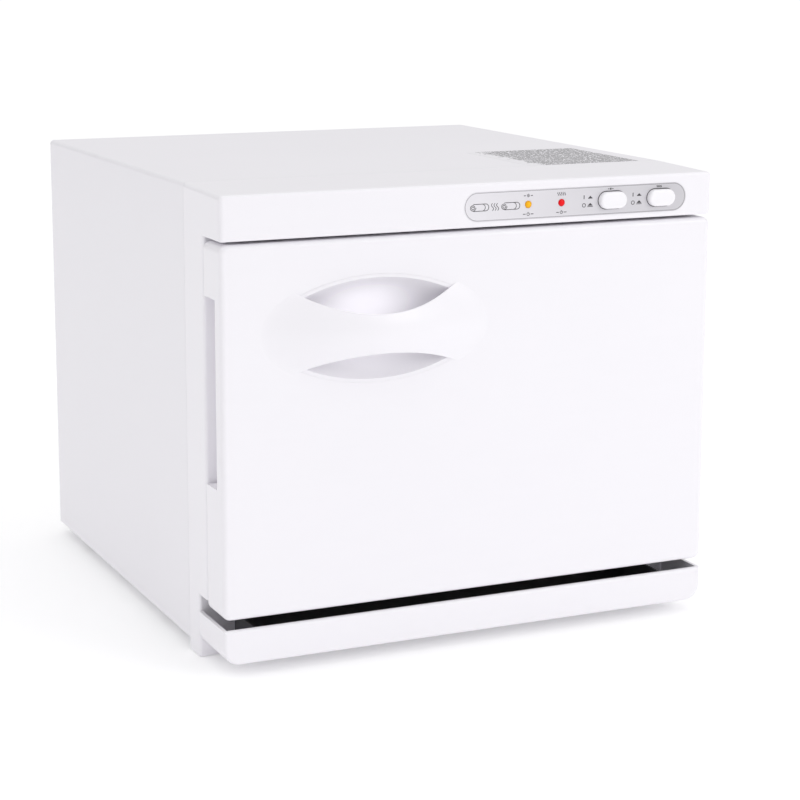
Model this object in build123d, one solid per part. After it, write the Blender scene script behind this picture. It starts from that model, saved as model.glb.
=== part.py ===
from build123d import *
import os

# Hot towel cabinet: a 16 litre steel box with a moulded front, a right-hinged door, two wire
# shelves, a heated floor, a germicidal lamp and a pull-out drip tray.
# Millimetres. X runs left to right, Y front to back, Z up from the surface it stands on.
# The origin is under the middle of the whole cabinet, handle included.

# Overall sizes
width = 360.0                    # casing, door and tray
body_depth = 388.0               # front of the door to the back cover
height = 316.5                   # standing surface to the casing top
handle_proud = 17.0              # the grip stands this far in front of the door

# Front moulding
frame_depth = 36.4               # frame face to the seam with the casing
header_height = 30.9             # seam height down to the header's lower edge
header_fall = 1.5                # the header top slopes down this much to its front edge
door_back_gap = 1.6              # closed door to the frame face
step_depth = 17.1                # legs lie this far behind the frame face
step_rise = 5.8                  # door's lower edge up to the step in the legs
post_width = 25.0                # legs and side posts, seen from the front
mould_wall = 2.5
spigot_length = 12.0             # frame tongue that enters the casing
spigot_wall = 2.0
leg_lift = 0.6                   # legs stop this far above the surface, on rubber pads
leg_sole = 6.0                   # solid foot of each leg
spigot_lift = 4.0                # tongue's lower end above the base

# Chamber opening, in the frame
chamber_margin = 28.0            # cabinet side to the chamber
sill_height = 8.5                # step up to the chamber floor
frame_top_rail = 13.6            # header's lower edge down to the chamber's top
service_space = 70.0             # behind the chamber, for insulation and wiring
liner_rim = 8.2                  # folded edge round the liner's mouth
liner_rim_below = 5.2
sheet = 0.8                      # casing, base, back cover and liner

# Casing
casing_lift = 8.6                # clear height under the casing
bend_radius = 3.0
flange = 12.0                    # folded edges of the casing
base_upstand = 14.0              # turned-up edges of the base
seam = 0.3                       # visible joint between header and casing
fit_gap = 0.2                    # between fixed pieces that slide together
back_inset = 1.5                 # back cover's edge inside the casing outline

# Door
door_rise = 6.5                  # tray's rim up to the door
door_head_gap = 2.0              # door top to header
door_thickness = 30.0
door_corner = 5.5                # corners seen from the front
door_edge = 3.5                  # rounding of the front edges
door_back_edge = 4.0             # rounding of the upper back edge
hinge_inset = 8.0                # pivot to the door's side and to its back
hinge_stile = 14.0               # solid strip that holds the hinge bushes
pin_radius = 2.5
pin_engagement = 12.0
running_gap = 0.05
bush_wall = 1.5
upper_plate = 2.0                # thickness of the plate on the header floor
upper_plate_length = 26.0        # its inner end to the pivot
bush_flange = 0.8
bracket_thickness = 2.5
bracket_margin = 2.0             # bracket's edges inside the leg's sides
notch_depth = 12.0               # finger notch, into the door's left edge
notch_front = 10.3
notch_below_top = 35.6           # door top to the notch
notch_rise = 85.3                # door bottom to the notch
notch_corner = 4.0
panel_sheet = 1.5                # inner panel of the door
panel_rise = 4.0                 # raised field of the inner panel
panel_margin = 7.0               # raised field inside the chamber opening
panel_corner = 6.0
panel_edge = 1.4                 # rounding of the raised field
panel_screw_end = 20.0           # door's ends to the inner panel's screws
catch_rise = 40.0                # chamber floor to the door catch
magnet_width = 10.0
magnet_length = 28.0
magnet_depth = 6.4
plate_thickness = 1.0
plate_margin = 1.0               # plate's edge beyond the magnet
catch_inset = 11.0               # cabinet side to the catch
gasket_width = 6.0
gasket_seat = 1.5                # gasket lies this far from the chamber opening
gasket_corner = 9.0
gasket_bed = 1.2                 # gasket's depth into the inner panel
gasket_gap = 0.3                 # gasket to frame face

# Handle: an oval bowl with a domed grip across it
handle_from_left = 107.7         # door's left edge to the handle's middle
handle_below_top = 59.6          # door top to the handle's middle
handle_half_length = 77.8
handle_half_height = 34.2
bowl_clearance = 6.5             # bowl to the door's inner panel
bowl_wall = 2.0
grip_wall = 3.0
grip_seat = 0.8                  # width of bowl rim under the grip's ends
pocket_half_length = 52.7        # from the handle's middle to a pocket's tip
pocket_tip = 24.1
upper_pocket_edge = 11.5         # grip edge above the middle
lower_pocket_edge = 14.5         # grip edge below the middle

# Drip tray
tray_bottom = 8.5
tray_height = 23.7
tray_back_gap = 0.5
tray_gap = 0.8                   # tray's rim to the hinge bracket
tray_corner = 11.0               # lower corners seen from the front
tray_edge = 2.4                  # rounding of the front edges
tray_wall = 2.5
trough_length = 92.0
trough_wall = 1.5
trough_drop = 4.0                # trough rim below the tray rim
runner_gap = 0.15                # runners to the trough's underside
runner_inset = 18.0              # leg to runner
runner_width = 12.0

# Controls on the header
panel_from_right = 20.8          # label's end to the cabinet's right side
panel_rise_in_header = 13.6      # header's lower edge to the label's middle
panel_length = 169.1
panel_height = 19.4
label_sheet = 0.3
label_recess = 0.4
label_gap = 0.15
top_label_width = 88.0
top_label_depth = 100.0
top_label_film = 0.1
top_label_gap = 1.0              # seam to the label
label_from_right = 17.0          # label to the cabinet's right side
lamp_offsets = {"amber_lamp_lens": -37.3, "red_lamp_lens": -12.2}
lamp_radius = 2.5
lamp_proud = 0.9
board_setback = 15.0             # header face to the lamps' circuit board
board_length = 44.0
board_height = 16.0
board_sheet = 1.6
post_radius = 2.4                # moulded posts behind the header wall
button_offsets = {"uv": 26.4, "warmer": 64.4}
button_length = 20.5
button_height = 11.5
button_proud = 4.0
button_travel = 3.0
button_gap = 0.35
button_edge = 1.8                # rounding of the button's face
button_rim = 1.2                 # lip behind the header wall that keeps the button in
stem_radius = 2.0
stem_entry = 4.0                 # stem's end inside the switch, button out
switch_front = 13.0              # header face to the switch body
switch_length = 19.0
switch_width = 17.0
switch_height = 11.0

# Shelves
rod_radius = 1.6
cross_rod_radius = 1.4
wire_radius = 1.1
shelf_count = 2
shelf_side_gap = 5.0
shelf_front_gap = 6.0
shelf_back_gap = 32.0
shelf_pitch = 19.0
ledge_width = 9.0
ledge_thickness = 1.2
ledge_upstand = 8.0

# Germicidal lamp, high on the chamber's back wall
lamp_tube_radius = 8.0
lamp_tube_length = 212.0
lamp_tube_wall = 1.0
lamp_cap_length = 9.0
lamp_pin_radius = 1.1
lamp_pin_length = 5.0
lamp_pin_spacing = 4.8
lamp_from_back = 16.0
lamp_below_top = 18.0
holder_thickness = 7.0
holder_screw_share = 0.3         # wiring holes from the middle, as a share of the lamp's length
holder_screw_drop = 22.0         # lamp to the wiring holes
guard_rod = 1.1
guard_pitch = 12.0

# Heater and insulation
heater_thickness = 1.6
spreader_thickness = 1.5
insulation_gap = 0.4
side_insulation = 22.0
top_insulation = 18.0
back_insulation = 22.0
floor_insulation = 18.0
wool_to_trough = 9.0             # floor slab behind the closed trough
spreader_margin = 12.0
mat_margin = 22.0
lead_tab = 8.0
thermostat_radius = 7.5
thermostat_height = 11.0
fuse_radius = 2.0
fuse_rise = 24.0                 # chamber floor to the fuse

# Electrical pieces on the base, behind the insulation
service_gap = 19.0               # insulation to the row's middle line
ballast_x = -51.0
ballast_core = 58.0
ballast_foot = 82.0
ballast_depth = 28.0
ballast_height = 27.0
starter_x = 20.0
starter_radius = 8.5
starter_socket = 10.0
starter_height = 42.0
terminal_x = 70.0
terminal_count = 4
terminal_pitch = 10.0
terminal_depth = 16.0
terminal_height = 14.0
terminal_screw = 2.2

# Feet and back
foot_radius = 11.0
foot_inset = 30.0
pad_recess = 1.8
pad_margin = 4.0                 # leg's edges to its rubber pad
screw_shank = 1.45
screw_head = 3.1
screw_head_height = 1.8
low_head = 2.5                   # flatter heads where there is little room
low_head_height = 0.9
screw_gap = 0.15
vent_slot_length = 42.0
vent_slot_width = 3.0
vent_pitch = 9.0
vent_count = 14
vent_rows = (76.0, 184.0)        # casing top down to each row's middle
inlet_from_side = 68.0
inlet_rise = 62.0                # standing surface to the inlet's middle
inlet_width = 27.0
inlet_height = 19.0
inlet_depth = 22.0
inlet_wall = 1.8
inlet_floor = 4.0
pin_length = 14.0

# Places worked out from the sizes above
TOUCH = 0.01
tray_top = tray_bottom + tray_height
door_bottom = tray_top + door_rise
step_height = door_bottom + step_rise
chamber_floor = step_height + sill_height
half_width = width / 2
front = (handle_proud - body_depth - screw_head_height) / 2
back = front + body_depth
door_back = front + door_thickness
frame_face = door_back + door_back_gap
leg_face = frame_face + step_depth
seam_y = frame_face + frame_depth
casing_front = seam_y + seam
casing_back = back - sheet
header_bottom = height - header_height
door_top = header_bottom - door_head_gap
hinge_x = half_width - hinge_inset
hinge_y = door_back - hinge_inset
lower_plate_top = door_bottom - bush_flange - fit_gap
bay_half = half_width - post_width
trough_floor = tray_bottom + tray_wall + fit_gap
trough_front = front + tray_wall + fit_gap
chamber_half = half_width - chamber_margin
chamber_top = header_bottom - frame_top_rail
chamber_height = chamber_top - chamber_floor
chamber_middle = chamber_floor + chamber_height / 2
liner_back = back - service_space
lamp_y = liner_back - sheet - lamp_from_back
lamp_z = chamber_top - lamp_below_top
base_z = casing_lift + sheet + fit_gap
base_top = base_z + sheet
shelf_half = chamber_half - shelf_side_gap
shelf_front = seam_y + shelf_front_gap
shelf_back = liner_back - sheet - shelf_back_gap
shelf_levels = [chamber_floor + chamber_height * (i + 1) / (shelf_count + 1) for i in range(shelf_count)]
handle_x = handle_from_left - half_width
handle_z = door_top - handle_below_top
bowl_depth = door_thickness - panel_sheet - bowl_wall - bowl_clearance
notch_height = door_top - notch_below_top - door_bottom - notch_rise
notch_middle = door_top - notch_below_top - notch_height / 2
panel_x = half_width - panel_from_right - panel_length / 2
panel_z = header_bottom + panel_rise_in_header
lamp_positions = {name: panel_x + offset for name, offset in lamp_offsets.items()}
button_positions = {name: panel_x + offset for name, offset in button_offsets.items()}
inlet_x = half_width - inlet_from_side
heater_top = chamber_floor - sheet - spreader_thickness
heater_bottom = heater_top - heater_thickness
floor_wool_front = trough_front + trough_length + wool_to_trough
thermostat_y = (floor_wool_front + liner_back) / 2
fuse_z = chamber_floor + fuse_rise
service_y = liner_back + back_insulation + service_gap
catch_z = chamber_floor + catch_rise
catch_x = catch_inset - half_width


def block(x_range, y_range, z_range):
    """Box between three pairs of limits."""
    low = [min(pair) for pair in (x_range, y_range, z_range)]
    high = [max(pair) for pair in (x_range, y_range, z_range)]
    sides = [b - a for a, b in zip(low, high)]
    middle = [(a + b) / 2 for a, b in zip(low, high)]
    return Pos(*middle) * Box(*sides)


def spread(half):
    """Limits of a span centred on zero."""
    return (-half, half)


def along_x(sketch, x_from, x_to):
    """Push a sketch drawn in Y and Z through a span of X."""
    return extrude(Plane.YZ.offset(x_from) * sketch, x_to - x_from)


def along_y(sketch, y_from, y_to):
    """Push a sketch drawn in X and Z through a span of Y."""
    return extrude(Plane.XZ.offset(-y_to) * sketch, y_to - y_from)


def along_z(sketch, z_from, z_to):
    """Push a sketch drawn in X and Y through a span of Z."""
    return extrude(Plane.XY.offset(z_from) * sketch, z_to - z_from)


def rod_x(radius, x_range, y, z):
    """Round bar along X."""
    middle = (x_range[0] + x_range[1]) / 2
    return Pos(middle, y, z) * Rot(0, 90, 0) * Cylinder(radius, x_range[1] - x_range[0])


def rod_y(radius, x, y_range, z):
    """Round bar along Y."""
    middle = (y_range[0] + y_range[1]) / 2
    return Pos(x, middle, z) * Rot(90, 0, 0) * Cylinder(radius, y_range[1] - y_range[0])


def rod_z(radius, x, y, z_range):
    """Round bar along Z."""
    return Pos(x, y, (z_range[0] + z_range[1]) / 2) * Cylinder(radius, z_range[1] - z_range[0])


def edges_at(solid, axis, x=None, y=None, z=None):
    """Edges along an axis whose middle lies in the planes given."""
    picked = solid.edges().filter_by(axis)
    if x is not None:
        picked = picked.filter_by(lambda edge: abs(edge.center().X - x) < TOUCH)
    if y is not None:
        picked = picked.filter_by(lambda edge: abs(edge.center().Y - y) < TOUCH)
    if z is not None:
        picked = picked.filter_by(lambda edge: abs(edge.center().Z - z) < TOUCH)
    return picked


def screw(length, head=screw_head, head_height=screw_head_height):
    """Cross-recess screw along Z, its head resting on Z = 0."""
    cap = Pos(0, 0, head_height / 2) * Cylinder(head, head_height)
    cap = fillet(cap.edges().sort_by(Axis.Z)[-1], head_height * 0.6)
    slot = Box(head * 1.1, head * 0.28, head_height)
    cross = Pos(0, 0, head_height) * (slot + Rot(0, 0, 90) * slot)
    return cap - cross + Pos(0, 0, -length / 2) * Cylinder(screw_shank, length)


def group(pieces):
    """Separate solids kept together as one node."""
    return Compound(children=list(pieces))


# ---- Front moulding -------------------------------------------------------------------------

def header_profile(inset):
    """Header section in Y and Z, moved inwards by a wall."""
    points = [
        (front + inset, header_bottom + inset),
        (seam_y, header_bottom + inset),
        (seam_y, height - inset),
        (front + inset, height - header_fall - inset),
    ]
    return make_face(Polyline(*points, close=True))


def header_block():
    """Outer form of the header with its rounded edges."""
    solid = along_x(header_profile(0), -half_width, half_width)
    ends = [e for e in solid.edges() if abs(abs(e.center().X) - half_width) < TOUCH]
    front_ends = [e for e in ends if abs(e.center().Y - front) < TOUCH]
    top_ends = [e for e in ends if e.center().Z > height - header_fall - TOUCH]
    solid = fillet(front_ends + top_ends, bend_radius)
    front_rows = solid.edges().filter_by(Axis.X).filter_by(lambda e: e.center().Y < front + TOUCH)
    return fillet(front_rows, bend_radius * 0.6)


def post_block():
    """Posts, sill and legs below the header, before hollowing."""
    outline = [
        (frame_face, step_height),
        (leg_face, step_height),
        (leg_face, leg_lift),
        (seam_y, leg_lift),
        (seam_y, header_bottom + mould_wall),
        (frame_face, header_bottom + mould_wall),
    ]
    solid = along_x(make_face(Polyline(*outline, close=True)), -half_width, half_width)
    fronts = [
        e
        for e in solid.edges().filter_by(Axis.Z)
        if abs(abs(e.center().X) - half_width) < TOUCH and e.center().Y < leg_face + TOUCH
    ]
    solid = fillet(fronts, mould_wall * 0.9)
    return solid - block(spread(bay_half), (front, back), (0, step_height))


def frame_hollow():
    """Space behind the frame's skin, round the chamber sleeve."""
    inner = half_width - mould_wall
    sleeve = block(
        spread(chamber_half + mould_wall),
        (front, seam_y + spigot_length),
        (chamber_floor - mould_wall, chamber_top + mould_wall),
    )
    upper_z = (step_height + mould_wall, header_bottom + mould_wall)
    upper = block(spread(inner), (frame_face + mould_wall, seam_y), upper_z)
    cover = along_x(header_profile(mould_wall), -inner, inner)
    cavity = upper + cover - sleeve
    leg_inner = bay_half + mould_wall
    leg_z = (leg_lift + leg_sole, step_height + mould_wall + TOUCH)
    for side in (-1, 1):
        cavity += block((side * leg_inner, side * inner), (leg_face + mould_wall, seam_y), leg_z)
    return cavity


def frame_spigot():
    """Tongue that carries the casing's front edge on the top and both sides."""
    outer = half_width - sheet - fit_gap
    top = height - sheet - fit_gap
    span = (seam_y - spigot_wall, seam_y + spigot_length)
    tongue = block(spread(outer), span, (base_z + spigot_lift, top))
    tongue -= block(spread(outer - spigot_wall), (front, back), (0, top - spigot_wall))
    return fillet(edges_at(tongue, Axis.Y, z=top), bend_radius - sheet)


def control_openings():
    """Recess for the label and the holes for the buttons and lamps."""
    outline = SlotOverall(panel_length + 2 * label_gap, panel_height + 2 * label_gap)
    recess = along_y(Pos(panel_x, panel_z) * outline, front, front + label_recess)
    return recess + control_holes()


def control_holes():
    """Holes through the header wall and the label."""
    depth = (front - TOUCH, front + mould_wall + TOUCH)
    outline = SlotOverall(button_length + 2 * button_gap, button_height + 2 * button_gap)
    holes = [along_y(Pos(x, panel_z) * outline, *depth) for x in button_positions.values()]
    holes += [rod_y(lamp_radius + running_gap, x, depth, panel_z) for x in lamp_positions.values()]
    return group(holes)


def pad_pocket(side, y_range, z_top, gap=0.0):
    """Rubber pad under a leg, or with a gap, the pocket that holds it."""
    near, far = bay_half + pad_margin - gap, half_width - pad_margin + gap
    pad_y = (y_range[0] + pad_margin - gap, y_range[1] - pad_margin + gap)
    return block((side * near, side * far), pad_y, (0, z_top))


def front_frame():
    """White moulding: header, posts, sill and legs in one piece."""
    body = header_block() + post_block()
    body += frame_spigot()
    body -= frame_hollow()
    body -= block(spread(chamber_half), (frame_face - 1, back), (chamber_floor, chamber_top))
    body -= control_openings()
    pin_hole = (header_bottom - 1, header_bottom + mould_wall + 1)
    body -= rod_z(pin_radius + screw_gap, hinge_x, hinge_y, pin_hole)
    for side in (-1, 1):
        body -= pad_pocket(side, (leg_face, seam_y), leg_lift + pad_recess, fit_gap)
    body -= catch_magnet(fit_gap)
    return body


def front_foot_pads():
    """Two rubber pads let into the legs."""
    return group(pad_pocket(side, (leg_face, seam_y), leg_lift + pad_recess) for side in (-1, 1))


# ---- Casing, base and back ------------------------------------------------------------------

def casing_section(inset):
    """Casing outline in X and Z, rounded at the top bends."""
    low = casing_lift + inset
    high = height - inset
    face = Pos(0, (low + high) / 2) * Rectangle(width - 2 * inset, high - low)
    return fillet(face.vertices().sort_by(Axis.Y)[-2:], bend_radius - inset)


def outer_casing():
    """Steel wrap: top, two sides and the folded lower and rear edges."""
    skin = along_y(casing_section(0), casing_front, casing_back)
    inside = along_y(casing_section(sheet), casing_front, casing_back - sheet)
    skin -= inside
    skin -= block(spread(half_width - flange), (casing_front, casing_back - sheet), (0, casing_lift + sheet))
    opening = Pos(0, height / 2) * Rectangle(width - 2 * flange, height - 2 * flange)
    skin -= along_y(opening, casing_back - sheet, casing_back)
    for x, z in back_screw_places():
        skin -= rod_y(screw_shank + screw_gap, x, (casing_back - 2, back), z)
    for x, y in base_screw_places():
        skin -= rod_z(screw_shank + screw_gap, x, y, (0, base_z))
    return skin


def base_screw_places():
    """Screws up through the casing's lower flange into the base."""
    edge = half_width - flange / 2
    rows = [casing_front + share * (casing_back - casing_front) for share in (0.2, 0.8)]
    return [(side * edge, y) for side in (-1, 1) for y in rows]


def back_screw_places():
    """Screws of the back cover, in the casing's rear flange."""
    edge = half_width - flange / 2
    top = height - flange / 2
    sides = [(side * edge, share * height) for side in (-1, 1) for share in (0.2, 0.6)]
    return sides + [(-width / 4, top), (width / 4, top)]


def base_pan():
    """Steel floor of the cabinet with turned-up edges."""
    outer = half_width - sheet - fit_gap
    y_range = (casing_front + spigot_length + 1, casing_back - sheet - fit_gap)
    pan = block(spread(outer), (casing_front, y_range[1]), (base_z, base_z + base_upstand))
    pan -= block(spread(outer - sheet), (front, y_range[1] - sheet), (base_z + sheet, height))
    for side in (-1, 1):
        beside_spigot = (side * (outer - sheet - spigot_wall), side * half_width)
        pan -= block(beside_spigot, (front, y_range[0]), (base_z + sheet, height))
    for x, y in base_screw_places():
        pan -= rod_z(screw_shank + screw_gap, x, y, (0, base_z + 2))
    for x, y in rear_foot_places():
        pan -= rod_z(screw_shank + screw_gap, x, y, (0, base_z + 2))
    return pan


def rear_foot_places():
    """Centres of the two rubber feet under the back of the base."""
    return [(side * (half_width - foot_inset), back - foot_inset) for side in (-1, 1)]


def rear_feet():
    """Tapered rubber feet, each with a recess for its screw."""
    feet = []
    for x, y in rear_foot_places():
        foot = Pos(x, y, base_z / 2) * Rot(180, 0, 0) * Cone(foot_radius, foot_radius - 2, base_z)
        foot -= rod_z(screw_head + 1, x, y, (0, base_z / 2))
        foot -= rod_z(screw_shank + screw_gap, x, y, (0, base_z))
        feet.append(foot)
    return group(feet)


def foot_screws():
    """Screws that hold the rear feet to the base."""
    length = base_z / 2 + 4
    return group(Pos(x, y, base_z / 2) * Rot(180, 0, 0) * screw(length) for x, y in rear_foot_places())


def casing_screws():
    """Screws through the casing's lower flange."""
    return group(Pos(x, y, casing_lift) * Rot(180, 0, 0) * screw(5) for x, y in base_screw_places())


def rear_cover():
    """Back plate with two rows of vent slots and the inlet's opening."""
    low = casing_lift + back_inset
    high = height - back_inset
    plate = Pos(0, (low + high) / 2) * RectangleRounded(width - 2 * back_inset, high - low, 3)
    slot = Rot(0, 0, 90) * SlotOverall(vent_slot_length, vent_slot_width)
    columns = [(index - (vent_count - 1) / 2) * vent_pitch for index in range(vent_count)]
    slots = [Pos(x, height - drop) * slot for x in columns for drop in vent_rows]
    cover = along_y(plate - slots, casing_back, back)
    cover -= inlet_block(fit_gap)
    for x, z in back_screw_places():
        cover -= rod_y(screw_shank + screw_gap, x, (casing_back - 1, back + 1), z)
    return cover


def rear_cover_screws():
    """Pan-head screws in the back cover."""
    return group(Pos(x, back, z) * Rot(-90, 0, 0) * screw(8) for x, z in back_screw_places())


def inlet_block(gap=0.0):
    """Body of the mains inlet behind its flange."""
    shape = Pos(inlet_x, inlet_rise) * RectangleRounded(inlet_width + 2 * gap, inlet_height + 2 * gap, 2)
    return along_y(shape, back - inlet_depth, back + TOUCH)


def power_inlet():
    """Recessed three-pin mains inlet with a thin flange."""
    middle = Pos(inlet_x, inlet_rise)
    floor_y = back - inlet_depth + inlet_floor
    ears = middle * RectangleRounded(inlet_width + 12, inlet_height + 5, 2.5)
    socket = middle * RectangleRounded(inlet_width - 2 * inlet_wall, inlet_height - 2 * inlet_wall, 1.5)
    body = inlet_block() & block(spread(width), (front, back), (0, height))
    body += along_y(ears, casing_back - 2 - fit_gap, casing_back - fit_gap)
    body -= along_y(socket, floor_y, back + 1)
    for dx, dz in ((-7, -2), (0, 2), (7, -2)):
        pin = middle * Pos(dx, dz) * Rectangle(2, 4)
        body += along_y(pin, floor_y - 1, floor_y + pin_length)
    return body


# ---- Chamber --------------------------------------------------------------------------------

def chamber_liner():
    """Bright aluminium box, open to the front, with a folded rim."""
    outer_z = (chamber_floor - sheet, chamber_top + sheet)
    rim_z = (chamber_floor - sheet - liner_rim_below, chamber_top + sheet + liner_rim)
    box = block(spread(chamber_half + sheet), (seam_y, liner_back), outer_z)
    box += block(spread(chamber_half + sheet + liner_rim), (seam_y, seam_y + sheet), rim_z)
    box -= block(spread(chamber_half), (front, liner_back - sheet), (chamber_floor, chamber_top))
    for side in (-1, 1):
        x = side * holder_screw_share * lamp_tube_length
        y_range = (liner_back - 2, liner_back + 1)
        box -= rod_y(screw_shank + screw_gap, x, y_range, lamp_z - holder_screw_drop)
    return box


def shelf_ledges():
    """Angle strips on both walls that carry the shelves."""
    strips = []
    for level in shelf_levels:
        top = level - rod_radius
        for side in (-1, 1):
            wall = side * chamber_half
            foot_x = (wall, wall - side * ledge_width)
            wall_x = (wall, wall - side * ledge_thickness)
            strip = block(foot_x, (shelf_front, shelf_back), (top - ledge_thickness, top))
            strip += block(wall_x, (shelf_front, shelf_back), (top - ledge_thickness, top + ledge_upstand))
            strips.append(strip)
    return group(strips)


def wire_shelf(level):
    """Welded wire shelf: a rod frame with closely spaced wires along its depth."""
    side_x = shelf_half - rod_radius
    shelf = rod_y(rod_radius, -side_x, (shelf_front, shelf_back), level)
    shelf += rod_y(rod_radius, side_x, (shelf_front, shelf_back), level)
    for y in (shelf_front + 2 * rod_radius, (shelf_front + shelf_back) / 2, shelf_back - 2 * rod_radius):
        shelf += rod_x(cross_rod_radius, spread(side_x), y, level)
    count = int((2 * shelf_half - shelf_pitch) // shelf_pitch)
    wire_y = (shelf_front + rod_radius, shelf_back - rod_radius)
    for index in range(count):
        x = (index - (count - 1) / 2) * shelf_pitch
        shelf += rod_y(wire_radius, x, wire_y, level + rod_radius)
    return shelf


def heat_spreader():
    """Thick plate under the liner floor that evens out the heat."""
    y_range = (seam_y + spreader_margin, liner_back - spreader_margin)
    return block(spread(chamber_half - spreader_margin), y_range, (heater_top, chamber_floor - sheet))


def heater_mat():
    """Silicone heating mat bonded under the spreader, with its lead tabs."""
    y_range = (seam_y + mat_margin, liner_back - mat_margin)
    mat = block(spread(chamber_half - mat_margin), y_range, (heater_bottom, heater_top))
    tab_y = (y_range[1] - TOUCH, liner_back - lead_tab)
    for x in spread(2 * lead_tab):
        tab_x = (x - lead_tab / 2, x + lead_tab / 2)
        mat += block(tab_x, tab_y, (heater_bottom, heater_top - fit_gap))
    return mat


def insulation_floor():
    """Mineral-wool slab under the heater, behind the tray bay."""
    z_top = heater_bottom - insulation_gap
    slab = block(spread(chamber_half), (floor_wool_front, liner_back), (z_top - floor_insulation, z_top))
    return slab - rod_z(2 * thermostat_radius, 0, thermostat_y, (0, chamber_floor))


def thermostat():
    """Snap-disc thermostat pressed against the heater's underside."""
    ear = heater_bottom - 2
    body = rod_z(thermostat_radius, 0, thermostat_y, (ear, heater_bottom))
    body += rod_z(thermostat_radius - 1, 0, thermostat_y, (heater_bottom - thermostat_height, ear))
    body += block(spread(thermostat_radius + 3), (thermostat_y - 2.5, thermostat_y + 2.5), (ear - 1, ear))
    for x in spread(thermostat_radius / 2):
        blade = (heater_bottom - thermostat_height - 6, heater_bottom - thermostat_height)
        body += block((x - 0.4, x + 0.4), (thermostat_y - 2.4, thermostat_y + 2.4), blade)
    return body


def thermal_fuse():
    """One-shot fuse clipped against the liner's back."""
    y = liner_back + fuse_radius + 1.2
    fuse = rod_x(fuse_radius, spread(3 * fuse_radius), y, fuse_z)
    return fuse + rod_x(fuse_radius / 4, spread(10 * fuse_radius), y, fuse_z)


def insulation_wrap():
    """Mineral wool over the liner's top and both sides."""
    reach = chamber_half + sheet + insulation_gap
    y_range = (seam_y + spigot_length + 2, liner_back)
    top = chamber_top + sheet + insulation_gap
    outer = block(spread(reach + side_insulation), y_range, (step_height, top + top_insulation))
    return outer - block(spread(reach), (front, back), (0, top))


def insulation_back():
    """Mineral-wool slab behind the liner, cut round the fuse."""
    y_range = (liner_back + insulation_gap, liner_back + back_insulation)
    slab = block(spread(chamber_half), y_range, (chamber_floor, chamber_top))
    room_y = (liner_back, liner_back + 4 * fuse_radius)
    return slab - block(spread(12 * fuse_radius), room_y, (fuse_z - 5, fuse_z + 5))


# ---- Germicidal lamp ------------------------------------------------------------------------

def uv_lamp_tube():
    """Quartz tube, closed at both ends."""
    half = lamp_tube_length / 2
    tube = rod_x(lamp_tube_radius, spread(half - lamp_cap_length + 2), lamp_y, lamp_z)
    return tube - rod_x(lamp_tube_radius - lamp_tube_wall, spread(half - lamp_cap_length), lamp_y, lamp_z)


def uv_lamp_caps():
    """Aluminium end caps, each with two contact pins."""
    half = lamp_tube_length / 2
    caps = []
    for side in (-1, 1):
        ends = sorted((side * (half - lamp_cap_length), side * half))
        cap = rod_x(lamp_tube_radius + 0.6, ends, lamp_y, lamp_z)
        sleeve = sorted((side * (half - lamp_cap_length - 1), side * (half - lamp_cap_length + 2)))
        cap -= rod_x(lamp_tube_radius + TOUCH, sleeve, lamp_y, lamp_z)
        for dz in spread(lamp_pin_spacing / 2):
            pin = sorted((side * (half - 1), side * (half + lamp_pin_length)))
            cap += rod_x(lamp_pin_radius, pin, lamp_y, lamp_z + dz)
        caps.append(cap)
    return group(caps)


def uv_lamp_holders():
    """Plastic sockets that hold the lamp's pins, on the chamber's back wall."""
    half = lamp_tube_length / 2
    face_y = lamp_y - lamp_tube_radius - 1
    tall = lamp_tube_radius + 3
    holders = []
    for side in (-1, 1):
        span = (side * (half + fit_gap), side * (half + fit_gap + holder_thickness))
        holder = block(span, (face_y, liner_back - sheet), (lamp_z - tall, lamp_z + tall))
        holder = fillet(edges_at(holder, Axis.X, y=face_y), 5)
        for dz in spread(lamp_pin_spacing / 2):
            hole = sorted((side * half, side * (half + lamp_pin_length + 0.5)))
            holder -= rod_x(lamp_pin_radius + 0.1, hole, lamp_y, lamp_z + dz)
        holders.append(holder)
    return group(holders)


def uv_reflector():
    """Bent bright sheet behind the tube."""
    half = lamp_tube_length / 2 - 4
    wall_y = liner_back - sheet
    outline = [
        (wall_y, lamp_z - 14),
        (wall_y - 1, lamp_z - 14),
        (wall_y - 1, lamp_z - 8),
        (wall_y - 4.4, lamp_z - 4),
        (wall_y - 4.4, lamp_z + 4),
        (wall_y - 1, lamp_z + 8),
        (wall_y - 1, lamp_z + 14),
        (wall_y, lamp_z + 14),
    ]
    return along_x(make_face(Polyline(*outline, close=True)), -half, half)


def uv_lamp_guard():
    """Wire cage in front of the lamp."""
    half = lamp_tube_length / 2 + holder_thickness + 5
    y = lamp_y - lamp_tube_radius - 5
    low = lamp_z - 14
    high = lamp_z + 13
    rail = guard_rod * 1.2
    guard = rod_x(rail, spread(half), y, low) + rod_x(rail, spread(half), y, high)
    last = half - 2
    count = int(2 * last // guard_pitch)
    for index in range(count + 1):
        guard += rod_z(guard_rod, -last + 2 * last * index / count, y, (low, high))
    for x in spread(last):
        for z in (low, high):
            guard += rod_y(guard_rod, x, (y, liner_back - sheet), z)
    return guard


# ---- Electrical pieces in the back space ----------------------------------------------------

def ballast():
    """Lamp ballast on the base behind the chamber: a core on a longer foot."""
    y_range = (service_y - ballast_depth / 2, service_y + ballast_depth / 2)
    core_x = (ballast_x - ballast_core / 2, ballast_x + ballast_core / 2)
    foot_x = (ballast_x - ballast_foot / 2, ballast_x + ballast_foot / 2)
    core = block(core_x, y_range, (base_top, base_top + ballast_height))
    return core + block(foot_x, y_range, (base_top, base_top + 2))


def starter():
    """Glow starter in its socket."""
    socket_top = base_top + starter_socket
    can = rod_z(starter_radius, starter_x, service_y, (socket_top, base_top + starter_height))
    return can + rod_z(starter_radius + 1.5, starter_x, service_y, (base_top, socket_top))


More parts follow.
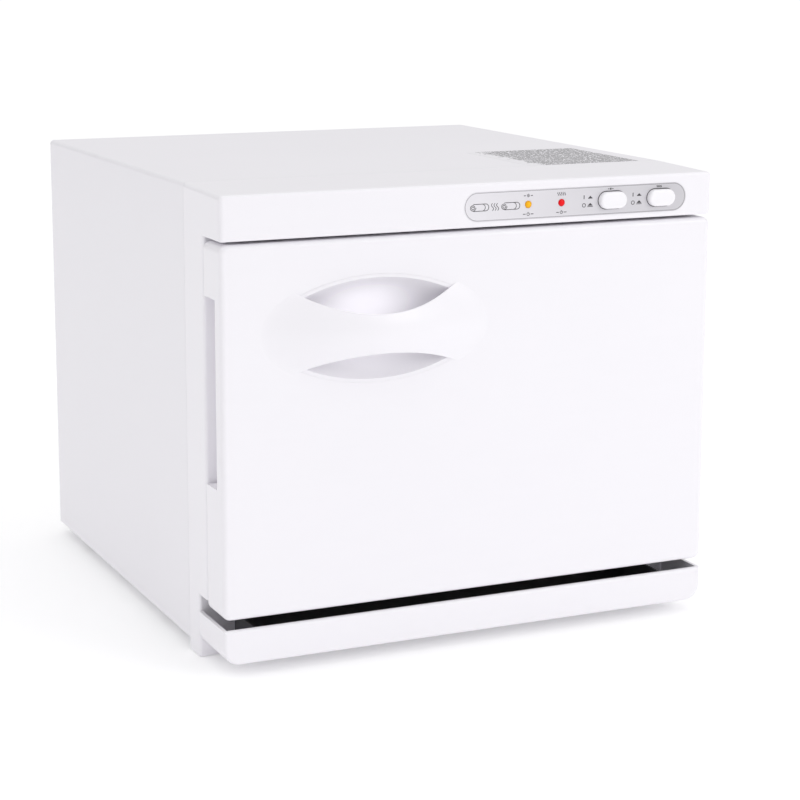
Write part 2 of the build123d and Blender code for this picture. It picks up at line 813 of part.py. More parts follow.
def terminal_block():
    """Screw terminals where the inlet's wires divide."""
    half = terminal_count * terminal_pitch / 2
    top = base_top + terminal_height
    y_range = (service_y - terminal_depth / 2, service_y + terminal_depth / 2)
    strip = block((terminal_x - half, terminal_x + half), y_range, (base_top, top))
    for index in range(terminal_count):
        x = terminal_x - half + (index + 0.5) * terminal_pitch
        strip -= rod_z(terminal_screw + 0.4, x, service_y, (top - 6, top + 1))
        strip += rod_z(terminal_screw, x, service_y, (top - 6.5, top - 3))
    return strip


def top_label():
    """Thin printed film on the casing's top, at the front right."""
    x_range = (half_width - label_from_right - top_label_width, half_width - label_from_right)
    y_range = (casing_front + top_label_gap, casing_front + top_label_gap + top_label_depth)
    return block(x_range, y_range, (height, height + top_label_film))


def lamp_board():
    """Small circuit board behind the two indicator lamps."""
    x_mid = sum(lamp_positions.values()) / len(lamp_positions)
    y = front + board_setback
    half, tall = board_length / 2, board_height / 2
    board = block((x_mid - half, x_mid + half), (y, y + board_sheet), (panel_z - tall, panel_z + tall))
    for x in (x_mid - half + 4, x_mid + half - 4):
        for z in (panel_z - tall + 3, panel_z + tall - 3):
            board += rod_y(post_radius, x, (front + mould_wall, y + board_sheet / 4), z)
    return board


def indicator_lens(x):
    """Domed coloured lens with a lip behind the header wall."""
    lens = rod_y(lamp_radius, x, (front - lamp_proud, front + board_setback - fit_gap), panel_z)
    lens = fillet(lens.edges().sort_by(Axis.Y)[0], lamp_proud)
    inner_face = front + mould_wall
    return lens + rod_y(lamp_radius + 0.7, x, (inner_face, inner_face + 1.2), panel_z)


# ---- Controls -------------------------------------------------------------------------------

def control_label():
    """Printed plastic overlay, let into the header face."""
    shape = Pos(panel_x, panel_z) * SlotOverall(panel_length, panel_height)
    y_from = front + label_recess - label_sheet
    return along_y(shape, y_from, front + label_recess) - control_holes()


def push_button(x):
    """Obround cap with a retaining lip and the stem that works the switch."""
    lip_front = front + mould_wall + button_gap
    middle = Pos(x, panel_z)
    cap = along_y(middle * SlotOverall(button_length, button_height), front - button_proud, lip_front + 1)
    cap = fillet(cap.edges().group_by(Axis.Y)[0], button_edge)
    lip = SlotOverall(button_length + 2 * button_rim, button_height + 2 * button_rim)
    cap += along_y(middle * lip, lip_front, lip_front + 1.5)
    return cap + rod_y(stem_radius, x, (lip_front + 1, front + switch_front + stem_entry), panel_z)


def switch_body(x):
    """Push switch that the button's stem enters, with two solder tabs."""
    y_from = front + switch_front
    y_to = y_from + switch_length
    half = switch_width / 2
    tall = switch_height / 2
    body = block((x - half, x + half), (y_from, y_to), (panel_z - tall, panel_z + tall))
    bore = (y_from - 1, y_from + stem_entry + button_travel + 1.5)
    body -= rod_y(stem_radius + running_gap, x, bore, panel_z)
    for dx in spread(half / 2):
        body += block((x + dx - 0.4, x + dx + 0.4), (y_to, y_to + 6), (panel_z - 2.4, panel_z + 2.4))
    return body


def switch_bracket():
    """Steel strip behind the header wall that carries both switches."""
    places = list(button_positions.values())
    x_range = (min(places) - switch_width / 2 - 10, max(places) + switch_width / 2 + 10)
    y_from = front + switch_front + 2
    z_range = (panel_z - switch_height / 2 - 2.5, panel_z + switch_height / 2 + 3)
    strip = block(x_range, (y_from, y_from + 1.2), z_range)
    for x in places:
        half = switch_width / 2 + fit_gap
        high = switch_height / 2 + fit_gap
        strip -= block((x - half, x + half), (y_from - 1, y_from + 3), (panel_z - high, panel_z + high))
    for x in (x_range[0] + post_radius, x_range[1] - post_radius):
        strip += rod_y(post_radius, x, (front + mould_wall, y_from + 0.4), panel_z)
    return strip


# ---- Door -----------------------------------------------------------------------------------

def door_block():
    """Outer form of the door."""
    z_mid = (door_bottom + door_top) / 2
    face = Pos(0, z_mid) * RectangleRounded(width, door_top - door_bottom, door_corner)
    solid = along_y(face, front, door_back)
    solid = fillet(solid.edges().group_by(Axis.Y)[0], door_edge)
    return solid & hinge_corner() & rounded_back()


def hinge_corner():
    """Tall prism whose back-right edge is rounded about the hinge axis."""
    shape = Pos(0, (front + door_back) / 2) * Rectangle(width, door_thickness)
    corner = shape.vertices().filter_by(lambda v: v.X > 0 and v.Y > front + 1)
    return along_z(fillet(corner, hinge_inset), door_bottom - 1, door_top + 1)


def rounded_back():
    """Wide prism that rounds the door's upper and lower back edges."""
    middle = ((front + door_back) / 2, (door_bottom + door_top) / 2)
    shape = Pos(*middle) * Rectangle(door_thickness, door_top - door_bottom)
    upper = shape.vertices().filter_by(lambda v: v.X > front + 1 and v.Y > door_bottom + 1)
    shape = fillet(upper, door_back_edge)
    lower = shape.vertices().filter_by(lambda v: v.X > front + 1 and v.Y < door_bottom + 1)
    return along_x(fillet(lower, door_back_edge * 0.6), -half_width - 1, half_width + 1)


def notch_block(wall=0.0):
    """Finger notch in the door's left edge, or with a wall, the form that encloses it."""
    outline = RectangleRounded(2 * (notch_depth + wall), notch_height + 2 * wall, notch_corner + wall)
    shape = Pos(-half_width, notch_middle) * outline
    return along_y(shape, front + notch_front - wall, door_back + 1)


def spindle(rise, growth):
    """Bar along X, round in section, whose side bulges on an arc; a plane at its ends' radius cuts an oval.

    The arc rises from one end of the handle to the other, and is moved outwards by the growth.
    """
    end_radius = (handle_half_height ** 2 - rise ** 2) / (2 * rise)
    arc_radius = (handle_half_length ** 2 + rise ** 2) / (2 * rise)
    arc_middle = end_radius + rise - arc_radius
    grown = arc_radius + growth
    reach = (grown ** 2 - (end_radius - arc_middle) ** 2) ** 0.5
    outline = Polyline((reach, end_radius), (reach, 0), (-reach, 0), (-reach, end_radius))
    crown = ThreePointArc((-reach, end_radius), (0, arc_middle + grown), (reach, end_radius))
    return revolve(make_face([*outline.edges(), crown]), Axis.X), end_radius


def bowl_form(growth=0.0):
    """Hollow of the handle as a solid, grown by a wall; its edge lies just inside the grip's outline."""
    form, to_axis = spindle(bowl_depth, growth - grip_seat)
    return Pos(handle_x, front - to_axis, handle_z) * form


def dome_form(growth=0.0):
    """Dome of the grip as a solid; a negative growth leaves its wall."""
    form, to_axis = spindle(handle_proud, growth)
    return Pos(handle_x, front + to_axis, handle_z) * form


def pocket_opening(side, edge):
    """Open area above or below the grip, seen from the front."""
    reach = handle_half_height + 6
    tip = side * pocket_tip
    arc = ThreePointArc((-pocket_half_length, tip), (0, side * edge), (pocket_half_length, tip))
    sides = Polyline(
        (pocket_half_length, tip), (pocket_half_length, side * reach),
        (-pocket_half_length, side * reach), (-pocket_half_length, tip),
    )
    face = Pos(handle_x, handle_z) * make_face([arc, *sides.edges()])
    return along_y(face, front - handle_proud - 1, door_back)


def handle_cup():
    """Thin bowl let into the door face."""
    shell = bowl_form(bowl_wall) - bowl_form()
    return shell & block(spread(width), (front, door_back), (0, height))


def handle_grip():
    """Domed band across the bowl, its ends standing on the bowl's rim."""
    grip = dome_form() & block(spread(width), (front - handle_proud - 1, front), (0, height))
    grip -= dome_form(-grip_wall)
    grip -= pocket_opening(1, upper_pocket_edge)
    return grip - pocket_opening(-1, lower_pocket_edge)


def bush_hole(z_range):
    """Seat of a hinge bush in the door."""
    return rod_z(pin_radius + running_gap + bush_wall, hinge_x, hinge_y, z_range)


def door_hollow(gap=0.0):
    """Space inside the door shell, for the foam and the inner panel."""
    wall = mould_wall + gap
    x_range = (-half_width + wall, half_width - hinge_stile - gap)
    space = block(x_range, (front + wall, door_back + 1), (door_bottom + wall, door_top - wall))
    return space - notch_block(wall)


def door_shell():
    """White moulding: front, edges and the solid hinge stile."""
    shell = door_block() - door_hollow() - notch_block() - bowl_form(bowl_wall + fit_gap / 2)
    shell -= bush_hole((door_bottom - 1, door_bottom + pin_engagement))
    shell -= bush_hole((door_top - pin_engagement, door_top + 1))
    return shell


def door_inner_panel():
    """Inner face of the door with a raised field that enters the chamber opening."""
    space = door_hollow(fit_gap)
    back_face = door_back - fit_gap
    sheet_block = space & block(spread(width), (back_face - panel_sheet, back_face), (0, height))
    field_half = chamber_half - panel_margin
    field_height = chamber_height - 2 * panel_margin
    middle = Pos(0, chamber_middle)
    outline = middle * RectangleRounded(2 * field_half, field_height, panel_corner)
    raised = along_y(outline, back_face - panel_sheet, door_back + panel_rise)
    raised = fillet(raised.edges().group_by(Axis.Y)[-1], panel_edge)
    pressed = middle * Rectangle(2 * (field_half - 2 * panel_sheet), field_height - 4 * panel_sheet)
    dish = along_y(pressed, back_face - panel_sheet - 1, door_back + panel_rise - panel_sheet)
    panel = sheet_block + raised - dish - gasket_ring(fit_gap)
    panel -= catch_plate(fit_gap)
    for x, z in panel_screw_places():
        panel -= rod_y(screw_shank + screw_gap, x, (front + 10, door_back + 1), z)
    return panel


def gasket_ring(gap=0.0):
    """Soft seal round the raised field, or with a gap, the groove it lies in."""
    inner = gasket_seat - gap
    outer = gasket_seat + gasket_width + gap
    wide = RectangleRounded(2 * (chamber_half + outer), chamber_height + 2 * outer, gasket_corner)
    inner_corner = gasket_corner - gasket_width
    hole = RectangleRounded(2 * (chamber_half + inner), chamber_height + 2 * inner, inner_corner)
    y_to = frame_face if gap else frame_face - gasket_gap
    return along_y(Pos(0, chamber_middle) * (wide - hole), door_back - gasket_bed, y_to)


def door_gasket():
    """Seal on the door."""
    return gasket_ring()


def catch_magnet(gap=0.0):
    """Magnet of the door catch in the left post, or with a gap, its pocket."""
    x_range = (catch_x - magnet_width / 2 - gap, catch_x + magnet_width / 2 + gap)
    z_range = (catch_z - magnet_length / 2 - gap, catch_z + magnet_length / 2 + gap)
    proud = TOUCH if gap else 0.0
    return block(x_range, (frame_face - proud, frame_face + magnet_depth), z_range)


def catch_plate(gap=0.0):
    """Steel plate on the door that the magnet holds, or with a gap, its seat."""
    half = magnet_width / 2 + plate_margin + gap
    tall = magnet_length / 2 + plate_margin + gap
    y_to = door_back + (1.0 if gap else 0.0)
    y_range = (door_back - plate_thickness, y_to)
    return block((catch_x - half, catch_x + half), y_range, (catch_z - tall, catch_z + tall))


def panel_screw_places():
    """Screws of the inner panel, outside the gasket."""
    right = half_width - hinge_stile - low_head - 2 * fit_gap
    left = -half_width + notch_depth
    levels = (door_bottom + panel_screw_end, door_top - panel_screw_end)
    return [(x, z) for x in (left, right) for z in levels]


def door_panel_screws():
    """Low-headed screws that hold the door's inner panel."""
    low_screw = Rot(-90, 0, 0) * screw(9, low_head, low_head_height)
    return group(Pos(x, door_back - fit_gap, z) * low_screw for x, z in panel_screw_places())


def door_insulation():
    """Foam slab inside the door, shaped round the bowl."""
    foam = door_hollow(insulation_gap)
    foam &= block(spread(width), (front, door_back - panel_sheet - 2 * fit_gap), (0, height))
    foam -= bowl_form(bowl_wall + insulation_gap)
    for x, z in panel_screw_places():
        foam -= rod_y(screw_shank + 1, x, (front, door_back), z)
    return foam


def hinge_bushes():
    """Flanged plastic bushes in the door's two hinge holes."""
    bushes = []
    for mouth, direction in ((door_bottom, 1), (door_top, -1)):
        z_range = sorted((mouth, mouth + direction * pin_engagement))
        bush = rod_z(pin_radius + running_gap + bush_wall - TOUCH, hinge_x, hinge_y, z_range)
        face = sorted((mouth, mouth - direction * bush_flange))
        bush += rod_z(pin_radius + running_gap + bush_wall + 1, hinge_x, hinge_y, face)
        bush -= rod_z(pin_radius + running_gap, hinge_x, hinge_y, (door_bottom - 2, door_top + 2))
        bushes.append(bush)
    return group(bushes)


# ---- Hinges ---------------------------------------------------------------------------------

def lower_hinge_bracket():
    """Steel plate from the leg face forward under the door, with a screw flange."""
    z_range = (lower_plate_top - bracket_thickness, lower_plate_top)
    x_range = (bay_half + bracket_margin, half_width - bracket_margin)
    flange_z = (tray_top + tray_gap, step_height - tray_back_gap)
    plate = block(x_range, (hinge_y, leg_face), z_range)
    plate = fillet(edges_at(plate, Axis.Z, x=x_range[0], y=hinge_y), hinge_inset)
    plate += rod_z(hinge_inset - bracket_margin, hinge_x, hinge_y, z_range)
    plate += block(x_range, (leg_face - bracket_thickness, leg_face), flange_z)
    return plate - rod_z(pin_radius, hinge_x, hinge_y, (0, height))


def lower_hinge_pin():
    """Pin riveted in the lower plate, pointing up into the door."""
    low = lower_plate_top - bracket_thickness
    pin = rod_z(pin_radius, hinge_x, hinge_y, (low, door_bottom + pin_engagement - 1))
    return fillet(pin.edges().sort_by(Axis.Z)[-1], 0.8)


def upper_hinge_bracket():
    """Steel plate on the header floor."""
    low = header_bottom + mould_wall
    x_range = (hinge_x - upper_plate_length, half_width - mould_wall - fit_gap)
    plate = block(x_range, (front + 6, frame_face + 2), (low, low + upper_plate))
    return plate - rod_z(pin_radius, hinge_x, hinge_y, (0, height))


def upper_hinge_pin():
    """Headed pin pointing down into the door."""
    top = header_bottom + mould_wall + upper_plate
    pin = rod_z(pin_radius, hinge_x, hinge_y, (door_top - pin_engagement + 1, top))
    return pin + rod_z(pin_radius + 1.4, hinge_x, hinge_y, (top, top + 1.6))


# ---- Drip tray ------------------------------------------------------------------------------

def drip_tray():
    """White tray front: a thin-walled bar, open above and towards the legs."""
    y_to = leg_face - tray_back_gap
    z_mid = (tray_bottom + tray_top) / 2
    face = Pos(0, z_mid) * Rectangle(width, tray_height)
    face = fillet(face.vertices().sort_by(Axis.Y)[:2], tray_corner)
    bar = along_y(face, front, y_to)
    bar = fillet(bar.edges().group_by(Axis.Y)[0], tray_edge)
    inner = Pos(0, z_mid + tray_wall) * Rectangle(width - 2 * tray_wall, tray_height)
    inner = fillet(inner.vertices().sort_by(Axis.Y)[:2], tray_corner - tray_wall)
    return bar - along_y(inner, front + tray_wall, y_to + 1)


def drip_trough():
    """Dark water trough that sits in the tray and slides under the chamber."""
    x_half = bay_half - fit_gap
    y_range = (trough_front, trough_front + trough_length)
    top = tray_top - trough_drop
    trough = block(spread(x_half), y_range, (trough_floor, top))
    trough = fillet(trough.edges().group_by(Axis.Z)[0], 1.0)
    inside_y = (y_range[0] + trough_wall, y_range[1] - trough_wall)
    inside = block(spread(x_half - trough_wall), inside_y, (trough_floor + trough_wall, top + 1))
    return trough - fillet(inside.edges().group_by(Axis.Z)[0], 2.0)


def tray_runners():
    """Two low plastic strips on the base that the trough slides on."""
    y_range = (casing_front + 1, trough_front + trough_length)
    z_range = (base_top, trough_floor - runner_gap)
    far = bay_half - runner_inset
    near = far - runner_width
    return group(block((side * near, side * far), y_range, z_range) for side in (-1, 1))


# ---- Write every piece ----------------------------------------------------------------------

nodes = {
    "front_frame": front_frame,
    "front_foot_pads": front_foot_pads,
    "outer_casing": outer_casing,
    "base_pan": base_pan,
    "rear_cover": rear_cover,
    "rear_feet": rear_feet,
    "foot_screws": foot_screws,
    "casing_screws": casing_screws,
    "rear_cover_screws": rear_cover_screws,
    "power_inlet": power_inlet,
    "chamber_liner": chamber_liner,
    "shelf_ledges": shelf_ledges,
    "lower_shelf": lambda: wire_shelf(shelf_levels[0]),
    "upper_shelf": lambda: wire_shelf(shelf_levels[1]),
    "heat_spreader": heat_spreader,
    "heater_mat": heater_mat,
    "thermostat": thermostat,
    "thermal_fuse": thermal_fuse,
    "insulation_wrap": insulation_wrap,
    "insulation_floor": insulation_floor,
    "insulation_back": insulation_back,
    "uv_lamp_tube": uv_lamp_tube,
    "uv_lamp_caps": uv_lamp_caps,
    "uv_lamp_holders": uv_lamp_holders,
    "uv_reflector": uv_reflector,
    "uv_lamp_guard": uv_lamp_guard,
    "ballast": ballast,
    "starter": starter,
    "terminal_block": terminal_block,
    "lamp_board": lamp_board,
    "control_label": control_label,
    "top_label": top_label,
    "switch_bracket": switch_bracket,
    "door_shell": door_shell,
    "door_inner_panel": door_inner_panel,
    "door_insulation": door_insulation,
    "door_gasket": door_gasket,
    "door_panel_screws": door_panel_screws,
    "catch_plate": catch_plate,
    "catch_magnet": catch_magnet,
    "handle_cup": handle_cup,
    "handle_grip": handle_grip,
    "hinge_bushes": hinge_bushes,
    "lower_hinge_bracket": lower_hinge_bracket,
    "lower_hinge_pin": lower_hinge_pin,
    "upper_hinge_bracket": upper_hinge_bracket,
    "upper_hinge_pin": upper_hinge_pin,
    "drip_tray": drip_tray,
    "drip_trough": drip_trough,
    "tray_runners": tray_runners,
}
for lens_name, lens_x in lamp_positions.items():
    nodes[lens_name] = lambda x=lens_x: indicator_lens(x)
for button_name, button_x in button_positions.items():
    nodes[button_name + "_button"] = lambda x=button_x: push_button(x)
    nodes[button_name + "_switch_body"] = lambda x=button_x: switch_body(x)

os.makedirs("parts", exist_ok=True)
for node_name, make_piece in nodes.items():
    export_step(make_piece(), f"parts/{node_name}.step")
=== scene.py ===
# %% [markdown]
# # A hot towel cabinet
# The object is a salon cabinet that keeps rolled towels hot: a folded steel casing behind a moulded front
# frame, a hinged door with a bowl and a domed grip, a control panel in the header, and a drip tray below.
# The engineering model already holds every part at its true size, so this lesson starts by loading it and
# then does only what a product artist would do: finishes, softer skins, printing, light and a camera.

# %% Load the engineering model
import math

import bmesh
import bpy
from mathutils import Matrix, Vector


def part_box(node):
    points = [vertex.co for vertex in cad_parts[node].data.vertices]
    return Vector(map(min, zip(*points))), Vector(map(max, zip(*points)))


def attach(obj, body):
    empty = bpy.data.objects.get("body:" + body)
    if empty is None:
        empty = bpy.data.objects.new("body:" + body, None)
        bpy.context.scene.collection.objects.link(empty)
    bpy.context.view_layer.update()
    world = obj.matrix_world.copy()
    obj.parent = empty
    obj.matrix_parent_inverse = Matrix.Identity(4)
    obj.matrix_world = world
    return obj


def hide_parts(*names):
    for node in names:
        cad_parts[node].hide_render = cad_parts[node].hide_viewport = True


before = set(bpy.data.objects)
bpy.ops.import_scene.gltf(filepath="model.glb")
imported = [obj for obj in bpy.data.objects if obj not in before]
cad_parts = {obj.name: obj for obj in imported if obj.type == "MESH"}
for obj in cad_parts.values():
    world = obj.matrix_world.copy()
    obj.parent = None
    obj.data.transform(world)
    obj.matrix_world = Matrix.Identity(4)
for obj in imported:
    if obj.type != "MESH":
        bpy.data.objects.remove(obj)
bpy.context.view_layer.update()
MM = 0.001

# %% [markdown]
# ## Camera
# The cabinet is seen from a little to its left and a little above its top, through a long lens. A long lens
# keeps the upright edges almost parallel. The small vertical shift does what a view camera's rising front
# does: it places the cabinet in the frame without tipping the camera further.

# %% Place the camera
camera_data = bpy.data.cameras.new("camera")
camera_data.sensor_width = 36.0
camera_data.lens = 96.273
camera_data.shift_y = -0.08
camera_data.clip_start = 0.05
camera = bpy.data.objects.new("camera", camera_data)
camera.location = (-0.6277, -1.43397, 0.47415)
camera.rotation_euler = (math.pi / 2 - 0.18491, -0.0027, -0.42916)
bpy.context.scene.collection.objects.link(camera)
bpy.context.scene.camera = camera
print("camera lens", camera_data.lens)

# %% [markdown]
# ## Arithmetic for shaders
# A procedural finish is a sum of small patterns. Wiring each addition by hand hides the idea, so this small
# class wraps a node's socket: an expression such as `0.3 + 0.1 * grain` then adds its own Math nodes.


# %% A socket that can be added and multiplied
class Wire:
    """One output socket; arithmetic on it adds Math nodes."""

    def __init__(self, finish, socket):
        self.finish = finish
        self.socket = socket

    def math(self, operation, *values):
        inputs = dict(enumerate(values))
        return self.finish.node("ShaderNodeMath", inputs, operation=operation)

    def __add__(self, other):
        return self.math("ADD", self, other)

    __radd__ = __add__

    def __sub__(self, other):
        return self.math("SUBTRACT", self, other)

    def __rsub__(self, other):
        return self.math("SUBTRACT", other, self)

    def __mul__(self, other):
        return self.math("MULTIPLY", self, other)

    __rmul__ = __mul__

    def __truediv__(self, other):
        return self.math("DIVIDE", self, other)

    def __pow__(self, other):
        return self.math("POWER", self, other)

    def __abs__(self):
        return self.math("ABSOLUTE", self)

    def __gt__(self, other):
        return self.math("GREATER_THAN", self, other)

    def __lt__(self, other):
        return self.math("LESS_THAN", self, other)


print("shader arithmetic ready")

# %% [markdown]
# ## One way to add any other node
# `NodeBoard` holds a node tree. Its `node` method takes a node's type, the values or links of its sockets,
# and its settings, which are set first because some of them change the sockets. `Finish` is such a board for
# a material, with its Principled shader and the patterns that most finishes share.


# %% Boards of nodes
class NodeBoard:
    """A node tree whose nodes are added one line at a time."""

    def __init__(self, tree):
        self.tree = tree

    def put(self, socket, value):
        if isinstance(value, Wire):
            self.tree.links.new(value.socket, socket)
        else:
            socket.default_value = value

    def node(self, kind, inputs=None, out=0, **settings):
        made = self.tree.nodes.new(kind)
        stops = settings.pop("stops", None)
        for name, value in settings.items():
            setattr(made, name, value)
        if stops:
            ramp = made.color_ramp
            for position, colour in stops[1:-1]:
                ramp.elements.new(position).color = colour
            ramp.elements[0].position, ramp.elements[0].color = stops[0]
            ramp.elements[-1].position, ramp.elements[-1].color = stops[-1]
        for name, value in (inputs or {}).items():
            self.put(made.inputs[name], value)
        return Wire(self, made.outputs[out])


class Finish(NodeBoard):
    """A material and its Principled shader."""

    def __init__(self, name):
        self.material = bpy.data.materials.new(name)
        self.material.use_nodes = True
        super().__init__(self.material.node_tree)
        self.shader = self.tree.nodes["Principled BSDF"]
        self.place = self.node("ShaderNodeTexCoord", out="Object")

    def along(self, axis):
        return self.node("ShaderNodeSeparateXYZ", {"Vector": self.place}, out=axis)

    def fade(self, value, start, end, first, last):
        """A smooth change from first to last while the value goes from start to end."""
        inputs = dict(enumerate((value, start, end, first, last)))
        return self.node("ShaderNodeMapRange", inputs, interpolation_type="SMOOTHSTEP")

    def noise(self, scale, detail=2.0, place=None, out="Fac", **inputs):
        values = {"Vector": place or self.place, "Scale": scale, "Detail": detail}
        values.update({name.replace("_", " "): value for name, value in inputs.items()})
        return self.node("ShaderNodeTexNoise", values, out=out)

    def stretched(self, scale, location=(0, 0, 0)):
        values = {"Vector": self.place, "Scale": scale, "Location": location}
        return self.node("ShaderNodeMapping", values)

    def blend(self, factor, first, second):
        mixed = self.tree.nodes.new("ShaderNodeMix")
        mixed.data_type = "RGBA"
        for socket, value in zip((0, 6, 7), (factor, first, second)):
            self.put(mixed.inputs[socket], value)
        return Wire(self, mixed.outputs[2])

    def bump(self, height, strength, distance):
        values = {"Height": height, "Strength": strength, "Distance": distance}
        return self.node("ShaderNodeBump", values, out="Normal")

    def set(self, **inputs):
        for name, value in inputs.items():
            self.put(self.shader.inputs[name.replace("_", " ")], value)
        return self.material


def grey(level, tint=1.0):
    """A near-white or grey; tint 1 is the faint violet of fresh white moulding."""
    return (level, level * (1 - 0.019 * tint), level * (1 + 0.026 * tint), 1)


finishes = {}
print("material helper ready")

# %% [markdown]
# ## White moulded plastic
# The frame, door, grip and tray are injection-moulded ABS with a satin face. The mould leaves an even fine
# grain, and the resin's flow leaves very faint clouds in colour and gloss. Large clouds shift the colour by
# less than one part in a hundred, and a fine noise in the bump gives the soft, slightly broken reflection.


# %% White mouldings and buttons
def moulded(name, level, tint, gloss, grain):
    plastic = Finish(name)
    clouds = plastic.noise(9, 3, Roughness=0.6)
    flow = plastic.noise(5, 2, place=plastic.stretched((6, 6, 40)))
    fine = plastic.noise(grain, 3)
    scuffs = plastic.noise(60, 6, place=plastic.stretched((1, 1, 5)), Distortion=1.2)
    worn = plastic.node("ShaderNodeMapRange", {0: scuffs, 1: 0.62, 2: 0.78})
    colour = plastic.blend(clouds * 0.6 + flow * 0.4, grey(level - 0.012, tint), grey(level + 0.008, tint))
    rough = gloss + 0.05 * (flow - 0.5) + 0.06 * (fine - 0.5) + 0.05 * worn
    skin = plastic.bump(fine + 0.4 * clouds, 0.12, 0.00006)
    plastic.set(Specular_IOR_Level=0.5, IOR=1.5)
    return plastic.set(Base_Color=colour, Roughness=rough, Normal=skin)


finishes["white_moulding"] = moulded("white_moulding", 0.9, 1.0, 0.34, 1700)
finishes["white_button"] = moulded("white_button", 0.92, 0.8, 0.24, 2400)
print("white mouldings ready")

# %% [markdown]
# The bowl behind the grip is the same white, with painted light in it: a faint glow that the bowl
# itself emits stands for the light that falls into the bowl and lifts its middle. The glow fades towards
# the bowl's ends and rim, and it is stronger in the upper pocket.


# %% Bowl with painted light
def bowl_painted_light():
    shell = Finish("bowl_painted_light")
    low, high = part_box("handle_cup")
    middle = (low + high) / 2
    x = (shell.along("X") - middle.x) / MM
    z = (shell.along("Z") - middle.z) / MM
    depth = (shell.along("Y") - low.y) / MM
    ends = shell.fade(abs(x + 2), 6.0, 48.0, 1.0, 0.0)
    upper = shell.node("ShaderNodeMapRange", {0: z, 1: -12.0, 2: 14.0, 3: 0.28, 4: 0.8})
    deep = shell.fade(depth, 3.0, 16.0, 0.0, 1.0)
    clouds = shell.noise(9, 3, Roughness=0.6)
    fine = shell.noise(1700, 3)
    # Painted light: the glow is emission that stands for light falling into the bowl; the bowl is no lamp.
    painted_glow = ends * upper * deep * (0.97 + 0.06 * clouds)
    colour = shell.blend(clouds, grey(0.888), grey(0.908))
    light = shell.blend(painted_glow, (0, 0, 0, 1), grey(1.0))
    shell.set(Emission_Strength=0.36, Emission_Color=light)
    rough = 0.38 + 0.06 * (fine - 0.5)
    return shell.set(Base_Color=colour, Roughness=rough, Normal=shell.bump(fine, 0.12, 0.00006))


finishes["bowl_painted_light"] = bowl_painted_light()
print("bowl finish ready")

# %% [markdown]
# ## Powder-coated casing
# Powder paint is sprayed dry and melted on, so it sets with a soft orange peel of millimetre-wide dimples.
# Two noises of nearly that size make the dimples, and a third, much finer one makes the satin.


# %% Powder coat
def powder_coat():
    paint = Finish("painted_steel")
    wobble = paint.noise(260, 2)
    peel = paint.noise(620, 1, Roughness=0.3)
    fine = paint.noise(2600, 2)
    clouds = paint.noise(7, 4)
    colour = paint.blend(clouds, grey(0.868), grey(0.888))
    rough = 0.42 + 0.08 * (fine - 0.5) + 0.06 * (clouds - 0.5)
    skin = paint.bump(peel + 0.5 * wobble + 0.15 * fine, 0.2, 0.00012)
    return paint.set(Base_Color=colour, Roughness=rough, Normal=skin)


finishes["painted_steel"] = powder_coat()
print("powder coat ready")

# %% [markdown]
# ## Bare and plated metals
# The chamber is brushed aluminium, the shelves are bright plated wire, and the brackets are zinc-plated.
# Brushing is a noise stretched along one axis, so it is fine across the grain and long with it. Zinc grows
# in faint crystals, which a Voronoi pattern gives.


# %% Brushed aluminium
def brushed_sheet():
    sheet = Finish("chamber_aluminium")
    grain = sheet.noise(1, 6, place=sheet.stretched((26, 1400, 1400)), Roughness=0.7)
    haze = sheet.noise(14, 4)
    marks = sheet.noise(30, 5, place=sheet.stretched((3, 1, 1)), Distortion=0.8)
    spots = sheet.node("ShaderNodeMapRange", {0: marks, 1: 0.58, 2: 0.8})
    colour = sheet.blend(grain * 0.7 + haze * 0.3, (0.66, 0.67, 0.685, 1), (0.8, 0.81, 0.82, 1))
    rough = 0.3 + 0.16 * grain + 0.1 * haze + 0.08 * spots
    skin = sheet.bump(grain, 0.16, 0.00005)
    return sheet.set(Base_Color=colour, Metallic=1.0, Roughness=rough, Normal=skin)


finishes["chamber_aluminium"] = brushed_sheet()
print("brushed sheet ready")


# %% Plated wire, zinc and screws
def plated(name, dark, light, gloss, scale, crystals):
    metal = Finish(name)
    cells = metal.node("ShaderNodeTexVoronoi", {"Vector": metal.place, "Scale": scale}, out="Color")
    shade = metal.node("ShaderNodeSeparateColor", {"Color": cells})
    haze = metal.noise(45, 4)
    fine = metal.noise(1500, 3)
    colour = metal.blend(crystals * shade + (1 - crystals) * haze, dark, light)
    rough = gloss + 0.1 * haze + 0.06 * fine
    skin = metal.bump(fine, 0.1, 0.00003)
    return metal.set(Base_Color=colour, Metallic=1.0, Roughness=rough, Normal=skin)


platings = {
    "shelf_wire": ((0.7, 0.71, 0.72, 1), (0.86, 0.86, 0.87, 1), 0.1, 200, 0.2),
    "zinc_steel": ((0.5, 0.51, 0.53, 1), (0.72, 0.73, 0.75, 1), 0.3, 260, 0.7),
    "screw_steel": ((0.52, 0.52, 0.53, 1), (0.7, 0.7, 0.71, 1), 0.22, 500, 0.3),
    "lamp_cap_metal": ((0.6, 0.6, 0.6, 1), (0.78, 0.78, 0.77, 1), 0.25, 600, 0.3),
}
for name, plating in platings.items():
    finishes[name] = plated(name, *plating)
print("plated metals ready")

# %% [markdown]
# ## Rubber, plastics and fibres
# The hidden and small parts get their own finishes too: dull rubber with a dusty bloom, matt black housings,
# a glass-fibre board, mineral wool that is really a mat of fibres, and the foam and mat of the heater.


# %% Matt materials from one recipe
def matt(name, dark, light, gloss, scale, depth, stretch=(1, 1, 1), fibre=0.0):
    stuff = Finish(name)
    fine = stuff.noise(scale, 5, place=stuff.stretched(stretch), Distortion=fibre)
    bloom = stuff.noise(22, 4)
    colour = stuff.blend(0.6 * fine + 0.4 * bloom, dark, light)
    rough = gloss + 0.12 * (bloom - 0.5) + 0.1 * (fine - 0.5)
    return stuff.set(Base_Color=colour, Roughness=rough, Normal=stuff.bump(fine, 0.35, depth))


